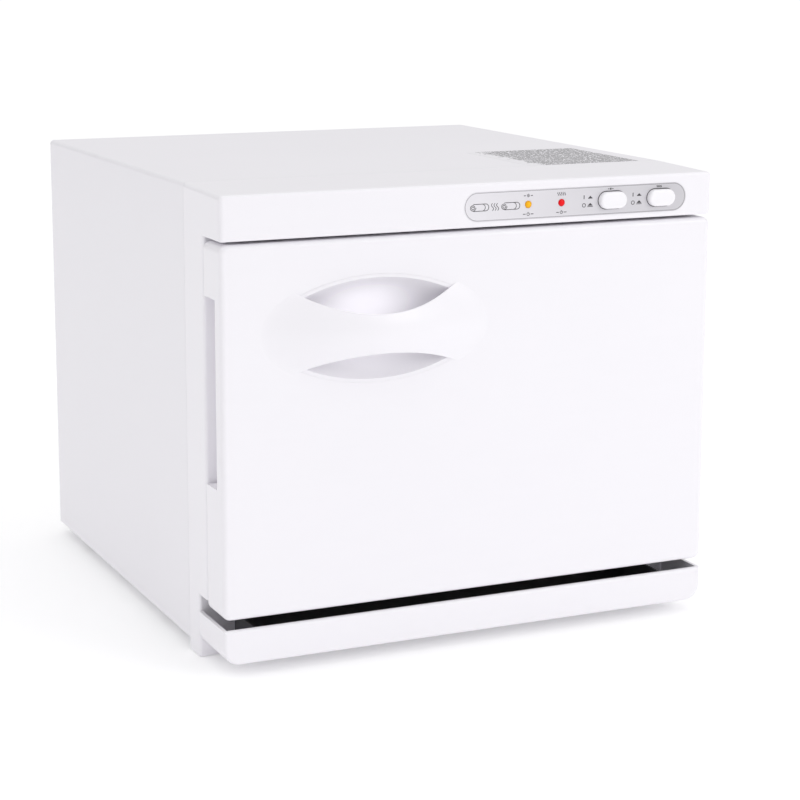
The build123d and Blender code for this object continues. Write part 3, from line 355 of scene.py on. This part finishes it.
recipes = {
    "foot_rubber": ((0.03, 0.03, 0.032, 1), (0.07, 0.07, 0.074, 1), 0.75, 900, 0.0001),
    "gasket_rubber": ((0.5, 0.5, 0.52, 1), (0.64, 0.64, 0.65, 1), 0.6, 700, 0.00008),
    "lamp_holder_plastic": ((0.72, 0.71, 0.68, 1), (0.82, 0.81, 0.78, 1), 0.4, 1500, 0.00004),
    "black_plastic": ((0.018, 0.018, 0.02, 1), (0.04, 0.04, 0.042, 1), 0.45, 1600, 0.00006),
    # Painted shade: the drip trough's dark grey stands for the deep shade inside the tray under the door.
    "trough_plastic": ((0.11, 0.108, 0.118, 1), (0.16, 0.158, 0.17, 1), 0.42, 1300, 0.00006),
    "magnet_ferrite": ((0.035, 0.032, 0.03, 1), (0.09, 0.085, 0.08, 1), 0.6, 800, 0.0001),
    "starter_case": ((0.66, 0.66, 0.64, 1), (0.8, 0.8, 0.78, 1), 0.4, 1200, 0.00005),
    "silicone_mat": ((0.36, 0.1, 0.06, 1), (0.5, 0.16, 0.1, 1), 0.55, 900, 0.0002),
    "door_foam": ((0.78, 0.76, 0.68, 1), (0.9, 0.88, 0.8, 1), 0.8, 420, 0.0006),
}
for name, recipe in recipes.items():
    finishes[name] = matt(name, *recipe)
wool = ((0.62, 0.58, 0.4, 1), (0.82, 0.78, 0.6, 1), 0.9, 260, 0.0012)
finishes["mineral_wool"] = matt("mineral_wool", *wool, stretch=(1, 1, 4), fibre=2.5)
print("matt finishes:", len(recipes) + 1)

# %% [markdown]
# ## Circuit board, lamp glass and lenses
# The board shows its woven glass under green lacquer, from two crossed wave patterns. The lamp is clear
# quartz. The two indicator lenses are tinted clear plastic that glows a little at the middle, because each
# has a small bulb behind it.


# %% Board and lamp glass
def circuit_board():
    board = Finish("circuit_board")
    threads = {"Vector": board.place, "Scale": 420}
    across = board.node("ShaderNodeTexWave", threads, out="Fac")
    up = board.node("ShaderNodeTexWave", threads, out="Fac", bands_direction="Z")
    weave = across * up
    colour = board.blend(weave, (0.02, 0.14, 0.05, 1), (0.05, 0.24, 0.09, 1))
    rough = 0.3 + 0.15 * weave
    return board.set(Base_Color=colour, Roughness=rough, Normal=board.bump(weave, 0.2, 0.00004))


def lamp_glass():
    glass = Finish("lamp_quartz")
    haze = glass.noise(60, 4)
    colour = glass.blend(haze, (0.86, 0.9, 0.95, 1), (0.95, 0.97, 1, 1))
    glass.set(IOR=1.46, Transmission_Weight=0.75)
    return glass.set(Base_Color=colour, Roughness=0.03 + 0.08 * haze, Alpha=0.55 + 0.1 * haze)


finishes["circuit_board"] = circuit_board()
finishes["lamp_quartz"] = lamp_glass()
print("board and lamp glass ready")


# %% Indicator lenses
def tinted_lens(name, node, middle, rim):
    lens = Finish(name)
    low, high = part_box(node)
    centre = (low + high) / 2
    away = lens.node("ShaderNodeVectorMath", {0: lens.place, 1: centre}, operation="SUBTRACT")
    flat = lens.node("ShaderNodeVectorMath", {0: away, 1: (1000, 0, 1000)}, operation="MULTIPLY")
    radius = lens.node("ShaderNodeVectorMath", {0: flat}, out="Value", operation="LENGTH") / 2.8
    facets = lens.noise(900, 2)
    colour = lens.blend(radius * radius + 0.12 * (facets - 0.5), middle, rim)
    lens.set(Emission_Strength=0.12, Specular_IOR_Level=0.22, IOR=1.49)
    return lens.set(Base_Color=colour, Emission_Color=colour, Roughness=0.2 + 0.1 * facets)


amber = ((0.9, 0.47, 0.012, 1), (0.62, 0.25, 0.0, 1))
red = ((0.82, 0.004, 0.008, 1), (0.5, 0.0, 0.004, 1))
finishes["amber_lens"] = tinted_lens("amber_lens", "amber_lamp_lens", *amber)
finishes["red_lens"] = tinted_lens("red_lens", "red_lamp_lens", *red)
print("lenses ready")

# %% [markdown]
# ## Label film
# The control label is a silver-grey printed overlay. It is a little darker towards its right end, has a fine
# dark line round its edge, and the silver ink has a very fine sparkle. The line comes from the distance to
# the label's own outline, which is a bar with round ends.


# %% Label film
def label_film():
    film = Finish("label_film")
    low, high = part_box("control_label")
    half = (high.z - low.z) / 2
    reach = (high.x - low.x) / 2 - half
    middle = (low + high) / 2
    x = film.along("X") - middle.x
    z = film.along("Z") - middle.z
    past = x.math("MAXIMUM", abs(x) - reach, 0)
    edge = half - (past * past + z * z) ** 0.5
    line = (edge > 0.35 * MM) * (edge < 0.75 * MM)
    sparkle = film.noise(3200, 2)
    clouds = film.noise(16, 3)
    along = film.node("ShaderNodeMapRange", {0: x, 1: -reach, 2: reach})
    silver = film.blend(along, (0.76, 0.74, 0.785, 1), (0.56, 0.545, 0.58, 1))
    silver = film.blend(0.1 * sparkle + 0.08 * clouds, silver, (0.97, 0.97, 0.98, 1))
    colour = film.blend(line * 0.75, silver, (0.2, 0.19, 0.21, 1))
    rough = 0.34 + 0.1 * sparkle
    skin = film.bump(sparkle, 0.1, 0.00003)
    return film.set(Base_Color=colour, Metallic=0.15 * sparkle, Roughness=rough, Normal=skin)


finishes["label_film"] = label_film()
print("label film ready")

# %% [markdown]
# ## Printed sticker on the casing
# A pale film carries rows of short plain dashes, which stand for printed advice without any words. Each row
# is a stripe across the film; along the row, a noise that changes from row to row switches the ink on and
# off, and another noise makes the left ends ragged.


# %% Sticker film
def sticker_film():
    film = Finish("sticker_film")
    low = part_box("top_label")[0]
    along = (film.along("X") - low.x) / MM
    across = (film.along("Y") - low.y) / MM / 2.1
    row = across.math("FLOOR", across)
    in_row = abs(across - row - 0.5) < 0.34
    spot = film.node("ShaderNodeCombineXYZ", {"X": along * 0.6, "Y": row * 7.3})
    dash = film.noise(1, 1, place=spot) > 0.42
    start = film.node("ShaderNodeCombineXYZ", {"X": row * 3.7})
    ragged = (along + 8 - 38 * film.noise(1, 2, place=start)) > 0
    fine = film.noise(1800, 2)
    ink = in_row * dash * ragged * (0.86 + 0.1 * fine)
    colour = film.blend(ink, grey(0.86), (0.06, 0.058, 0.064, 1))
    return film.set(Base_Color=colour, Roughness=0.36 + 0.08 * fine, Normal=film.bump(fine, 0.08, 0.00003))


finishes["sticker_film"] = sticker_film()
print("sticker film ready")

# %% [markdown]
# ## Printing ink and painted shadow
# The marks on the control label are screen-printed in dark grey ink, a little uneven because the ink film is
# thin. The same ink also draws painted shadow: a fine dark ring round each button for the shaded gap.


# %% Ink for print and painted shadow
def printing_ink():
    ink = Finish("printing_ink")
    thin = ink.noise(1500, 3)
    colour = ink.blend(thin, (0.02, 0.019, 0.023, 1), (0.06, 0.057, 0.065, 1))
    return ink.set(Base_Color=colour, Roughness=0.45 + 0.1 * thin, Normal=ink.bump(thin, 0.1, 0.00002))


finishes["printing_ink"] = printing_ink()
print("ink ready")

# %% [markdown]
# ## Finish the engineering parts
# Each part arrives with a plain stand-in material named after its slot, so the finishes can be handed out by
# that name.

# %% Hand out the finishes
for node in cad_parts.values():
    for index, stand_in in enumerate(node.data.materials):
        node.data.materials[index] = finishes[stand_in.name.split(".")[0]]
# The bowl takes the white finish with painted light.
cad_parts["handle_cup"].data.materials[0] = finishes["bowl_painted_light"]
print("finished", len(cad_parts), "parts with", len(finishes), "finishes")

# %% [markdown]
# ## Working by hand in code
# A few helpers do what a hand does in the viewport: deselect everything, open a piece for editing, select its
# faces or corners by where they are, and close it again with its place kept in its mesh.


# %% Modelling helpers
def bring(piece):
    """Select only this piece and make it active."""
    bpy.ops.object.select_all(action="DESELECT")
    piece.select_set(True)
    bpy.context.view_layer.objects.active = piece
    return piece


def added(name):
    """The primitive just added, named, with its place moved into its mesh."""
    piece = bring(bpy.context.object)
    piece.name = piece.data.name = name
    bpy.ops.object.transform_apply(location=True, rotation=True, scale=True)
    return piece


def pick(piece, kind, test):
    """In edit mode, select the faces or corners whose place (and normal) pass the test."""
    mesh = bmesh.from_edit_mesh(piece.data)
    bpy.ops.mesh.select_all(action="DESELECT")
    bpy.ops.mesh.select_mode(type=kind)
    parts = {"FACE": mesh.faces, "VERT": mesh.verts, "EDGE": mesh.edges}[kind]
    for part in parts:
        if kind == "FACE":
            part.select_set(test(part.calc_center_median(), part.normal))
        elif kind == "VERT":
            part.select_set(test(part.co))
        else:
            part.select_set(all(test(corner.co) for corner in part.verts))
    mesh.select_flush_mode()
    bmesh.update_edit_mesh(piece.data)


def modify(piece, kind, **settings):
    """Add a modifier and apply it at once."""
    bring(piece)
    made = piece.modifiers.new(kind.title(), kind)
    for name, value in settings.items():
        setattr(made, name, value)
    bpy.ops.object.modifier_apply(modifier=made.name)


def done(piece, body, slot, *nodes, finish=None, angle=40):
    """Finish a piece: soft shading, material, the body it rides on and the parts it stands for."""
    bring(piece)
    bpy.ops.object.shade_smooth_by_angle(angle=math.radians(angle))
    piece.data.materials.clear()
    piece.data.materials.append(finishes[finish or slot])
    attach(piece, body)
    if nodes:
        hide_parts(*nodes)
    print(piece.name, len(piece.data.polygons), "faces on", body)
    return piece


# %% [markdown]
# ## The domed grip
# The hand passes into two pockets and closes on a band that swells out of the door face and melts back into
# it at both ends. Its outline is an oval, and each pocket bites into it along an arc. A flat grid is laid
# over the band so that its rows already follow the two arcs, then every corner is lifted to the dome's
# height. The height falls to nothing with a level tangent, so no seam shows where it meets the door. A wall
# whose thickness fades with the height, and a small rounding of the pocket edges, finish it.

# %% Lay the grid and lift the dome
grip_low, grip_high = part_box("handle_grip")
cup_low, cup_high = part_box("handle_cup")
face_y = grip_high.y
grip_x = (grip_low.x + grip_high.x) / 2
grip_z = (cup_low.z + cup_high.z) / 2
proud = face_y - grip_low.y - 0.05 * MM
reach_x = (grip_high.x - grip_low.x) / 2 + 3.2 * MM
reach_z = (cup_high.z - cup_low.z) / 2 + 2.6 * MM
tip_x = 52.7 * MM
tip_z = 24.1 * MM


def bite(x, edge):
    """Height of a pocket's arc above the band's middle, or the oval's where that is lower."""
    radius = (tip_x**2 + (tip_z - edge) ** 2) / (2 * (tip_z - edge))
    arc = edge + radius - math.sqrt(radius**2 - x * x)
    oval = reach_z * math.sqrt(max(0.0, 1 - (x / reach_x) ** 2))
    return min(arc, oval)


def swell(x, z):
    """Height of the dome over the door face."""
    share = (x / reach_x) ** 2 + (z / reach_z) ** 2
    return proud * max(0.0, 1 - share) ** 1.5


bpy.ops.object.select_all(action="DESELECT")
bpy.ops.mesh.primitive_grid_add(x_subdivisions=120, y_subdivisions=40, size=2, rotation=(math.pi / 2, 0, 0))
grip = added("domed_grip")
lift = grip.vertex_groups.new(name="lift")
for corner in grip.data.vertices:
    x = reach_x * math.sin(corner.co.x * math.pi / 2)
    above, below = bite(x, 11.5 * MM), bite(x, 14.5 * MM)
    z = (above + below) / 2 * corner.co.z + (above - below) / 2
    height = swell(x, z)
    corner.co = (grip_x + x, face_y - height - 0.02 * MM, grip_z + z)
    lift.add([corner.index], min(1.0, height / (2.5 * MM)), "REPLACE")
print("grip rises", round(proud / MM, 1), "mm")

# %% Give the grip its wall and soft pocket edges
modify(grip, "SOLIDIFY", thickness=3 * MM, offset=-1, vertex_group="lift", thickness_vertex_group=0.01)
bring(grip)
bpy.ops.object.mode_set(mode="EDIT")
bpy.ops.mesh.select_all(action="SELECT")
bpy.ops.mesh.remove_doubles(threshold=0.000005)
bpy.ops.mesh.normals_make_consistent(inside=False)
bpy.ops.object.mode_set(mode="OBJECT")
modify(grip, "BEVEL", width=0.7 * MM, segments=3, limit_method="ANGLE", angle_limit=math.radians(50))
done(grip, "door", "white_moulding", "handle_grip", angle=50)

# %% [markdown]
# ## Push buttons
# Each button is a moulded cap with round ends. A cylinder laid on its side is pulled apart at its middle,
# which gives the straight part, its front rim is rounded, and its face is inset and raised a little so that
# it crowns under the finger. A wider lip behind keeps it in the panel, and a stem reaches the switch.


# %% Button
def push_button(name, node):
    low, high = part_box(node)
    middle = (low + high) / 2
    rim = 1.2 * MM
    radius = (high.z - low.z) / 2 - rim
    stretch = (high.x - low.x) / 2 - rim - radius
    depth = 7.85 * MM
    bpy.ops.object.select_all(action="DESELECT")
    bpy.ops.mesh.primitive_cylinder_add(
        vertices=48, radius=radius, depth=depth, rotation=(math.pi / 2, 0, 0),
        location=(middle.x, low.y + depth / 2, middle.z),
    )
    piece = added(name)
    bpy.ops.object.mode_set(mode="EDIT")
    for side in (-1, 1):
        pick(piece, "VERT", lambda co: side * (co.x - middle.x) > 0.05 * MM)
        bpy.ops.transform.translate(value=(side * stretch, 0, 0))
    pick(piece, "FACE", lambda co, n: n.y > 0.9)
    bpy.ops.mesh.inset(thickness=0.0005 * MM)
    pick(piece, "FACE", lambda co, n: n.y > 0.9 and abs(co.x - middle.x) < MM)
    bpy.ops.mesh.extrude_region_move(TRANSFORM_OT_translate={"value": (0, 0.4 * MM, 0)})
    bpy.ops.transform.resize(value=(1 + rim / (radius + stretch), 1, 1 + rim / radius))
    bpy.ops.mesh.extrude_region_move(TRANSFORM_OT_translate={"value": (0, 1.1 * MM, 0)})
    pick(piece, "FACE", lambda co, n: n.y < -0.9)
    bpy.ops.mesh.bevel(offset=1.8 * MM, segments=6, profile=0.55)
    pick(piece, "FACE", lambda co, n: n.y < -0.999)
    bpy.ops.mesh.inset(thickness=1.4 * MM, depth=-0.12 * MM)
    bpy.ops.mesh.inset(thickness=1.2 * MM, depth=-0.04 * MM)
    bpy.ops.object.mode_set(mode="OBJECT")
    return done(piece, node, "white_button", node, angle=35)


push_button("uv_button_cap", "uv_button")
push_button("warmer_button_cap", "warmer_button")

# %% [markdown]
# ## Indicator lenses
# A lens is a clear dome with a collar behind the panel. Half of a ball, flattened, gives the dome; its flat
# back is then drawn out into a barrel, and the collar is drawn out wider. Starting from a ball and cutting it
# keeps the dome's curve true right to its rim.


# %% Lens
def lens_dome(name, node, finish):
    low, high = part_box(node)
    middle = (low + high) / 2
    collar = 0.7 * MM
    radius = (high.z - low.z) / 2 - collar
    dome = 1.2 * MM
    barrel = 3.0 * MM
    rim_y = low.y + dome
    bpy.ops.object.select_all(action="DESELECT")
    bpy.ops.mesh.primitive_uv_sphere_add(
        segments=40, ring_count=20, radius=radius, rotation=(math.pi / 2, 0, 0),
        location=(middle.x, rim_y, middle.z),
    )
    piece = added(name)
    bpy.ops.object.mode_set(mode="EDIT")
    bpy.ops.mesh.select_all(action="SELECT")
    cut = (middle.x, rim_y, middle.z)
    bpy.ops.mesh.bisect(plane_co=cut, plane_no=(0, 1, 0), use_fill=True, clear_outer=True)
    bpy.ops.mesh.select_all(action="SELECT")
    bpy.ops.transform.resize(value=(1, dome / radius, 1), center_override=cut)
    pick(piece, "FACE", lambda co, n: n.y > 0.99 and abs(co.y - rim_y) < 0.01 * MM)
    bpy.ops.mesh.extrude_region_move(TRANSFORM_OT_translate={"value": (0, barrel, 0)})
    bpy.ops.mesh.extrude_region_move(TRANSFORM_OT_translate={"value": (0, 0.01 * MM, 0)})
    bpy.ops.transform.resize(value=(1 + collar / radius, 1, 1 + collar / radius))
    bpy.ops.mesh.extrude_region_move(TRANSFORM_OT_translate={"value": (0, 0.8 * MM, 0)})
    bpy.ops.object.mode_set(mode="OBJECT")
    return done(piece, "cabinet", finish, node, angle=35)


lens_dome("amber_lens_dome", "amber_lamp_lens", "amber_lens")
lens_dome("red_lens_dome", "red_lamp_lens", "red_lens")

# %% [markdown]
# ## Door gasket
# The gasket is a soft ring that closes against the frame with two lips and a groove between them. A flat
# sheet with rounded corners is inset to find the ring, the middle is taken away, the ring is drawn out to its
# thickness, and its face is inset and pushed in for the groove. A small rounding softens both lips.

# %% Gasket
seal_low, seal_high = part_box("door_gasket")
seal_middle = (seal_low + seal_high) / 2
seal_size = seal_high - seal_low
seal_corner = 9 * MM
seal_width = 6 * MM
seal_place = (seal_middle.x, seal_low.y, seal_middle.z)
bpy.ops.object.select_all(action="DESELECT")
bpy.ops.mesh.primitive_plane_add(size=1, rotation=(-math.pi / 2, 0, 0), location=seal_place)
seal = added("gasket_lips")
bpy.ops.object.mode_set(mode="EDIT")
bpy.ops.mesh.select_all(action="SELECT")
bpy.ops.transform.resize(value=(seal_size.x, 1, seal_size.z))
bpy.ops.mesh.bevel(offset=seal_corner, segments=10, affect="VERTICES")
bpy.ops.mesh.inset(thickness=seal_width)
bpy.ops.mesh.delete(type="FACE")
bpy.ops.mesh.select_all(action="SELECT")
bpy.ops.mesh.extrude_region_move(TRANSFORM_OT_translate={"value": (0, seal_size.y, 0)})
bpy.ops.mesh.select_all(action="SELECT")
bpy.ops.mesh.normals_make_consistent(inside=False)
pick(seal, "FACE", lambda co, n: n.y > 0.9)
bpy.ops.mesh.inset(thickness=1.5 * MM)
bpy.ops.mesh.inset(thickness=0.5 * MM, depth=-0.9 * MM)
bpy.ops.object.mode_set(mode="OBJECT")
modify(seal, "BEVEL", width=0.4 * MM, segments=3, limit_method="ANGLE", angle_limit=math.radians(40))
done(seal, "door", "gasket_rubber", "door_gasket", angle=50)

# %% [markdown]
# ## Printed marks
# The marks on the label are pictograms: rolled towels and steam for the cabinet, a lamp and heat waves over
# the indicators and buttons, a power sign under the indicators, and a bar and ring with small arrows beside
# the buttons. A fine dark ring round each button is painted shadow of the gap between button and label.
# Each line is a thin wire laid along its path and pressed almost flat, which is close to how a
# squeegee leaves an ink line.

# %% Strokes of ink
label_low, label_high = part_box("control_label")
ink_y = label_low.y - 0.02 * MM
strokes = []


def stroke(points, width=0.5, closed=False):
    """A line of ink through points given in millimetres along the row frame's X and Z."""
    curve = bpy.data.curves.new("stroke", "CURVE")
    curve.dimensions = "3D"
    curve.bevel_depth = width / 2 * MM
    curve.bevel_resolution = 1
    curve.use_fill_caps = True
    line = curve.splines.new("POLY")
    line.points.add(len(points) - 1)
    for spot, (x, z) in zip(line.points, points):
        spot.co = (x * MM, 0, z * MM, 1)
    line.use_cyclic_u = closed
    mark = bpy.data.objects.new("stroke", curve)
    bpy.context.scene.collection.objects.link(mark)
    bring(mark)
    bpy.ops.object.convert(target="MESH")
    mark = bpy.context.object
    mark.scale.y = 0.1
    mark.location.y = ink_y
    bpy.ops.object.transform_apply(location=True, rotation=True, scale=True)
    strokes.append(mark)


def arc(x, z, radius, start=0, end=360, steps=20, grow=0.0):
    """Points round an arc, in degrees; grow widens it into a spiral."""
    turns = [math.radians(start + (end - start) * i / steps) for i in range(steps + 1)]
    return [
        (x + (radius + grow * i) * math.cos(t), z + (radius + grow * i) * math.sin(t))
        for i, t in enumerate(turns)
    ]


def steam(x, z, height, width=0.5):
    """One rising wave."""
    turns = [i / 12 for i in range(13)]
    sway = 0.17 * height
    stroke([(x + sway * math.sin(t * math.tau), z + height * (t - 0.5)) for t in turns], width)


def rolled_towel(x, z):
    """A roll seen from one end and its side."""
    stroke(arc(x, z, 0.5, 0, 720, 36, grow=0.049))
    stroke([(x + 0.3, z + 2.3), (x + 9.4, z + 2.3)])
    stroke([(x + 0.3, z - 2.3), (x + 9.4, z - 2.3)])
    stroke(arc(x + 9.4, z, 2.3, 90, -90, 14))
    stroke(arc(x + 6.8, z, 2.3, 70, -70, 10))


def lamp_mark(x, z, size):
    """A small round lamp with rays, between two short tubes."""
    stroke(arc(x, z, 0.42 * size, 0, 360, 14), 0.42)
    for turn in range(0, 360, 45):
        rays = [arc(x, z, r * size, turn, turn, 1)[0] for r in (0.7, 1.05)]
        stroke(rays, 0.4)
    for side in (-1, 1):
        stroke([(x + side * 1.7 * size, z), (x + side * 2.9 * size, z)], 0.62)


def heat_mark(x, z, size):
    """A row of five rising waves."""
    for step in (-2, -1, 0, 1, 2):
        steam(x + step * 1.15 * size, z, 1.9 * size, 0.5)


def power_mark(x, z):
    """A power sign between two short bars."""
    stroke(arc(x, z, 0.95, 120, 420, 18), 0.44)
    stroke([(x, z + 0.2), (x, z + 1.3)], 0.44)
    for side in (-1, 1):
        stroke([(x + side * 1.9, z), (x + side * 3.9, z)], 0.55)


def arrow_mark(x, z, bar):
    """A filled arrow head made of shortening lines, with a base line where the button stays in."""
    for step in range(5):
        half = 1.75 - 0.4 * step
        stroke([(x - half, z + 0.36 * step), (x + half, z + 0.36 * step)], 0.5)
    if bar:
        stroke([(x - 2.1, z - 0.8), (x + 2.1, z - 0.8)], 0.5)


def shadow_gap(low, high):
    """Painted shadow: the shaded gap between a button and the label, as a fine dark line round the button."""
    rim = 1.2
    radius = (high.z - low.z) / 2 / MM - rim
    reach = (high.x - low.x) / 2 / MM - rim - radius
    x, z = (low.x + high.x) / 2 / MM, (low.z + high.z) / 2 / MM
    right = arc(x + reach, z, radius + 0.3, -90, 90, 16)
    stroke(right + arc(x - reach, z, radius + 0.3, 90, 270, 16), 0.6, closed=True)


print("ink tools ready")

# %% Print the label
for node, above in (("amber_lamp_lens", lamp_mark), ("red_lamp_lens", heat_mark)):
    low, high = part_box(node)
    lamp_x, lamp_z = (low.x + high.x) / 2 / MM, (low.z + high.z) / 2 / MM
    above(lamp_x, lamp_z + 5.9, 1.15)
    power_mark(lamp_x, lamp_z - 6.4)
for node, above in (("uv_button", lamp_mark), ("warmer_button", heat_mark)):
    low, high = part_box(node)
    button_x, button_z = (low.x + high.x) / 2 / MM, (low.z + high.z) / 2 / MM
    # Painted shadow: a dark ring of ink round the button stands for the shade in its gap.
    shadow_gap(low, high)
    above(button_x - 0.9, button_z + 7.6, 0.72)
    arrow_mark(button_x - 16.6, button_z + 1.9, False)
    arrow_mark(button_x - 16.6, button_z - 2.9, True)
    stroke([(button_x - 21.4, button_z + 1.5), (button_x - 21.4, button_z + 4.1)], 0.66)
    stroke(arc(button_x - 21.4, button_z - 2.7, 1.2, 0, 360, 18), 0.52)
mark_x, mark_z = label_low.x / MM + 6.2, (label_low.z + label_high.z) / 2 / MM - 0.4
rolled_towel(mark_x, mark_z)
for step in range(3):
    steam(mark_x + 14.4 + 1.9 * step, mark_z, 4.8)
rolled_towel(mark_x + 23, mark_z)
# The pictograms and the painted shadow rings are joined into one piece of ink.
bring(strokes[0])
for mark in strokes:
    mark.select_set(True)
bpy.ops.object.join()
print_and_shadow = bpy.context.object
print_and_shadow.name = "label_print_and_gap_shadow"
done(print_and_shadow, "cabinet", "label_film", finish="printing_ink", angle=30)

# %% [markdown]
# ## Floor and light
# The cabinet stands in a white studio: a pale floor that glows very slightly, so it stays lighter than the
# cabinet's top, a white room that is brightest overhead, and a soft panel in front that lifts the door.

# %% Floor
bpy.ops.object.select_all(action="DESELECT")
bpy.ops.mesh.primitive_plane_add(size=12, location=(0, 2, 0))
floor = bpy.context.object
floor.name = "studio_floor"
paper = Finish("studio_paper")
fibre = paper.noise(300, 3)
paper_colour = paper.blend(fibre, (0.93, 0.93, 0.935, 1), (0.95, 0.95, 0.955, 1))
paper.set(Emission_Strength=0.16, Emission_Color=(1, 1, 1, 1))
floor.data.materials.append(paper.set(Base_Color=paper_colour, Roughness=0.9))
print("floor laid")

# %% White room
world = bpy.data.worlds.new("white_room")
world.use_nodes = True
room = NodeBoard(world.node_tree)
direction = room.node("ShaderNodeTexCoord", out="Generated")
upwards = room.node("ShaderNodeSeparateXYZ", {"Vector": direction}, out="Z")
overhead = room.node("ShaderNodeMapRange", {"Value": upwards, "To Min": 0.41, "To Max": 1.19})
seen = room.node("ShaderNodeLightPath", out="Is Camera Ray")
level = room.node("ShaderNodeMix", {"Factor": seen, "A": overhead, "B": 1.05})
background = room.tree.nodes["Background"]
room.put(background.inputs["Color"], (1, 1, 1, 1))
room.put(background.inputs["Strength"], level)
bpy.context.scene.world = world
print("room ready")

# %% Key panel
key = bpy.data.lights.new("key_panel", "AREA")
key.shape = "RECTANGLE"
key.size, key.size_y = 1.3, 1.1
key.energy = 14.3
key_place = Vector((1.5, -2.3, 1.2))
key_aim = Vector((0, -0.1, 0.15))
panel = bpy.data.objects.new("key_panel", key)
panel.location = key_place
panel.rotation_euler = (key_aim - key_place).to_track_quat("-Z", "Y").to_euler()
bpy.context.scene.collection.objects.link(panel)
bpy.context.scene.view_settings.view_transform = "Standard"
print("lit")

# %% [markdown]
# ## Finish

# %% Finish
bpy.context.view_layer.update()
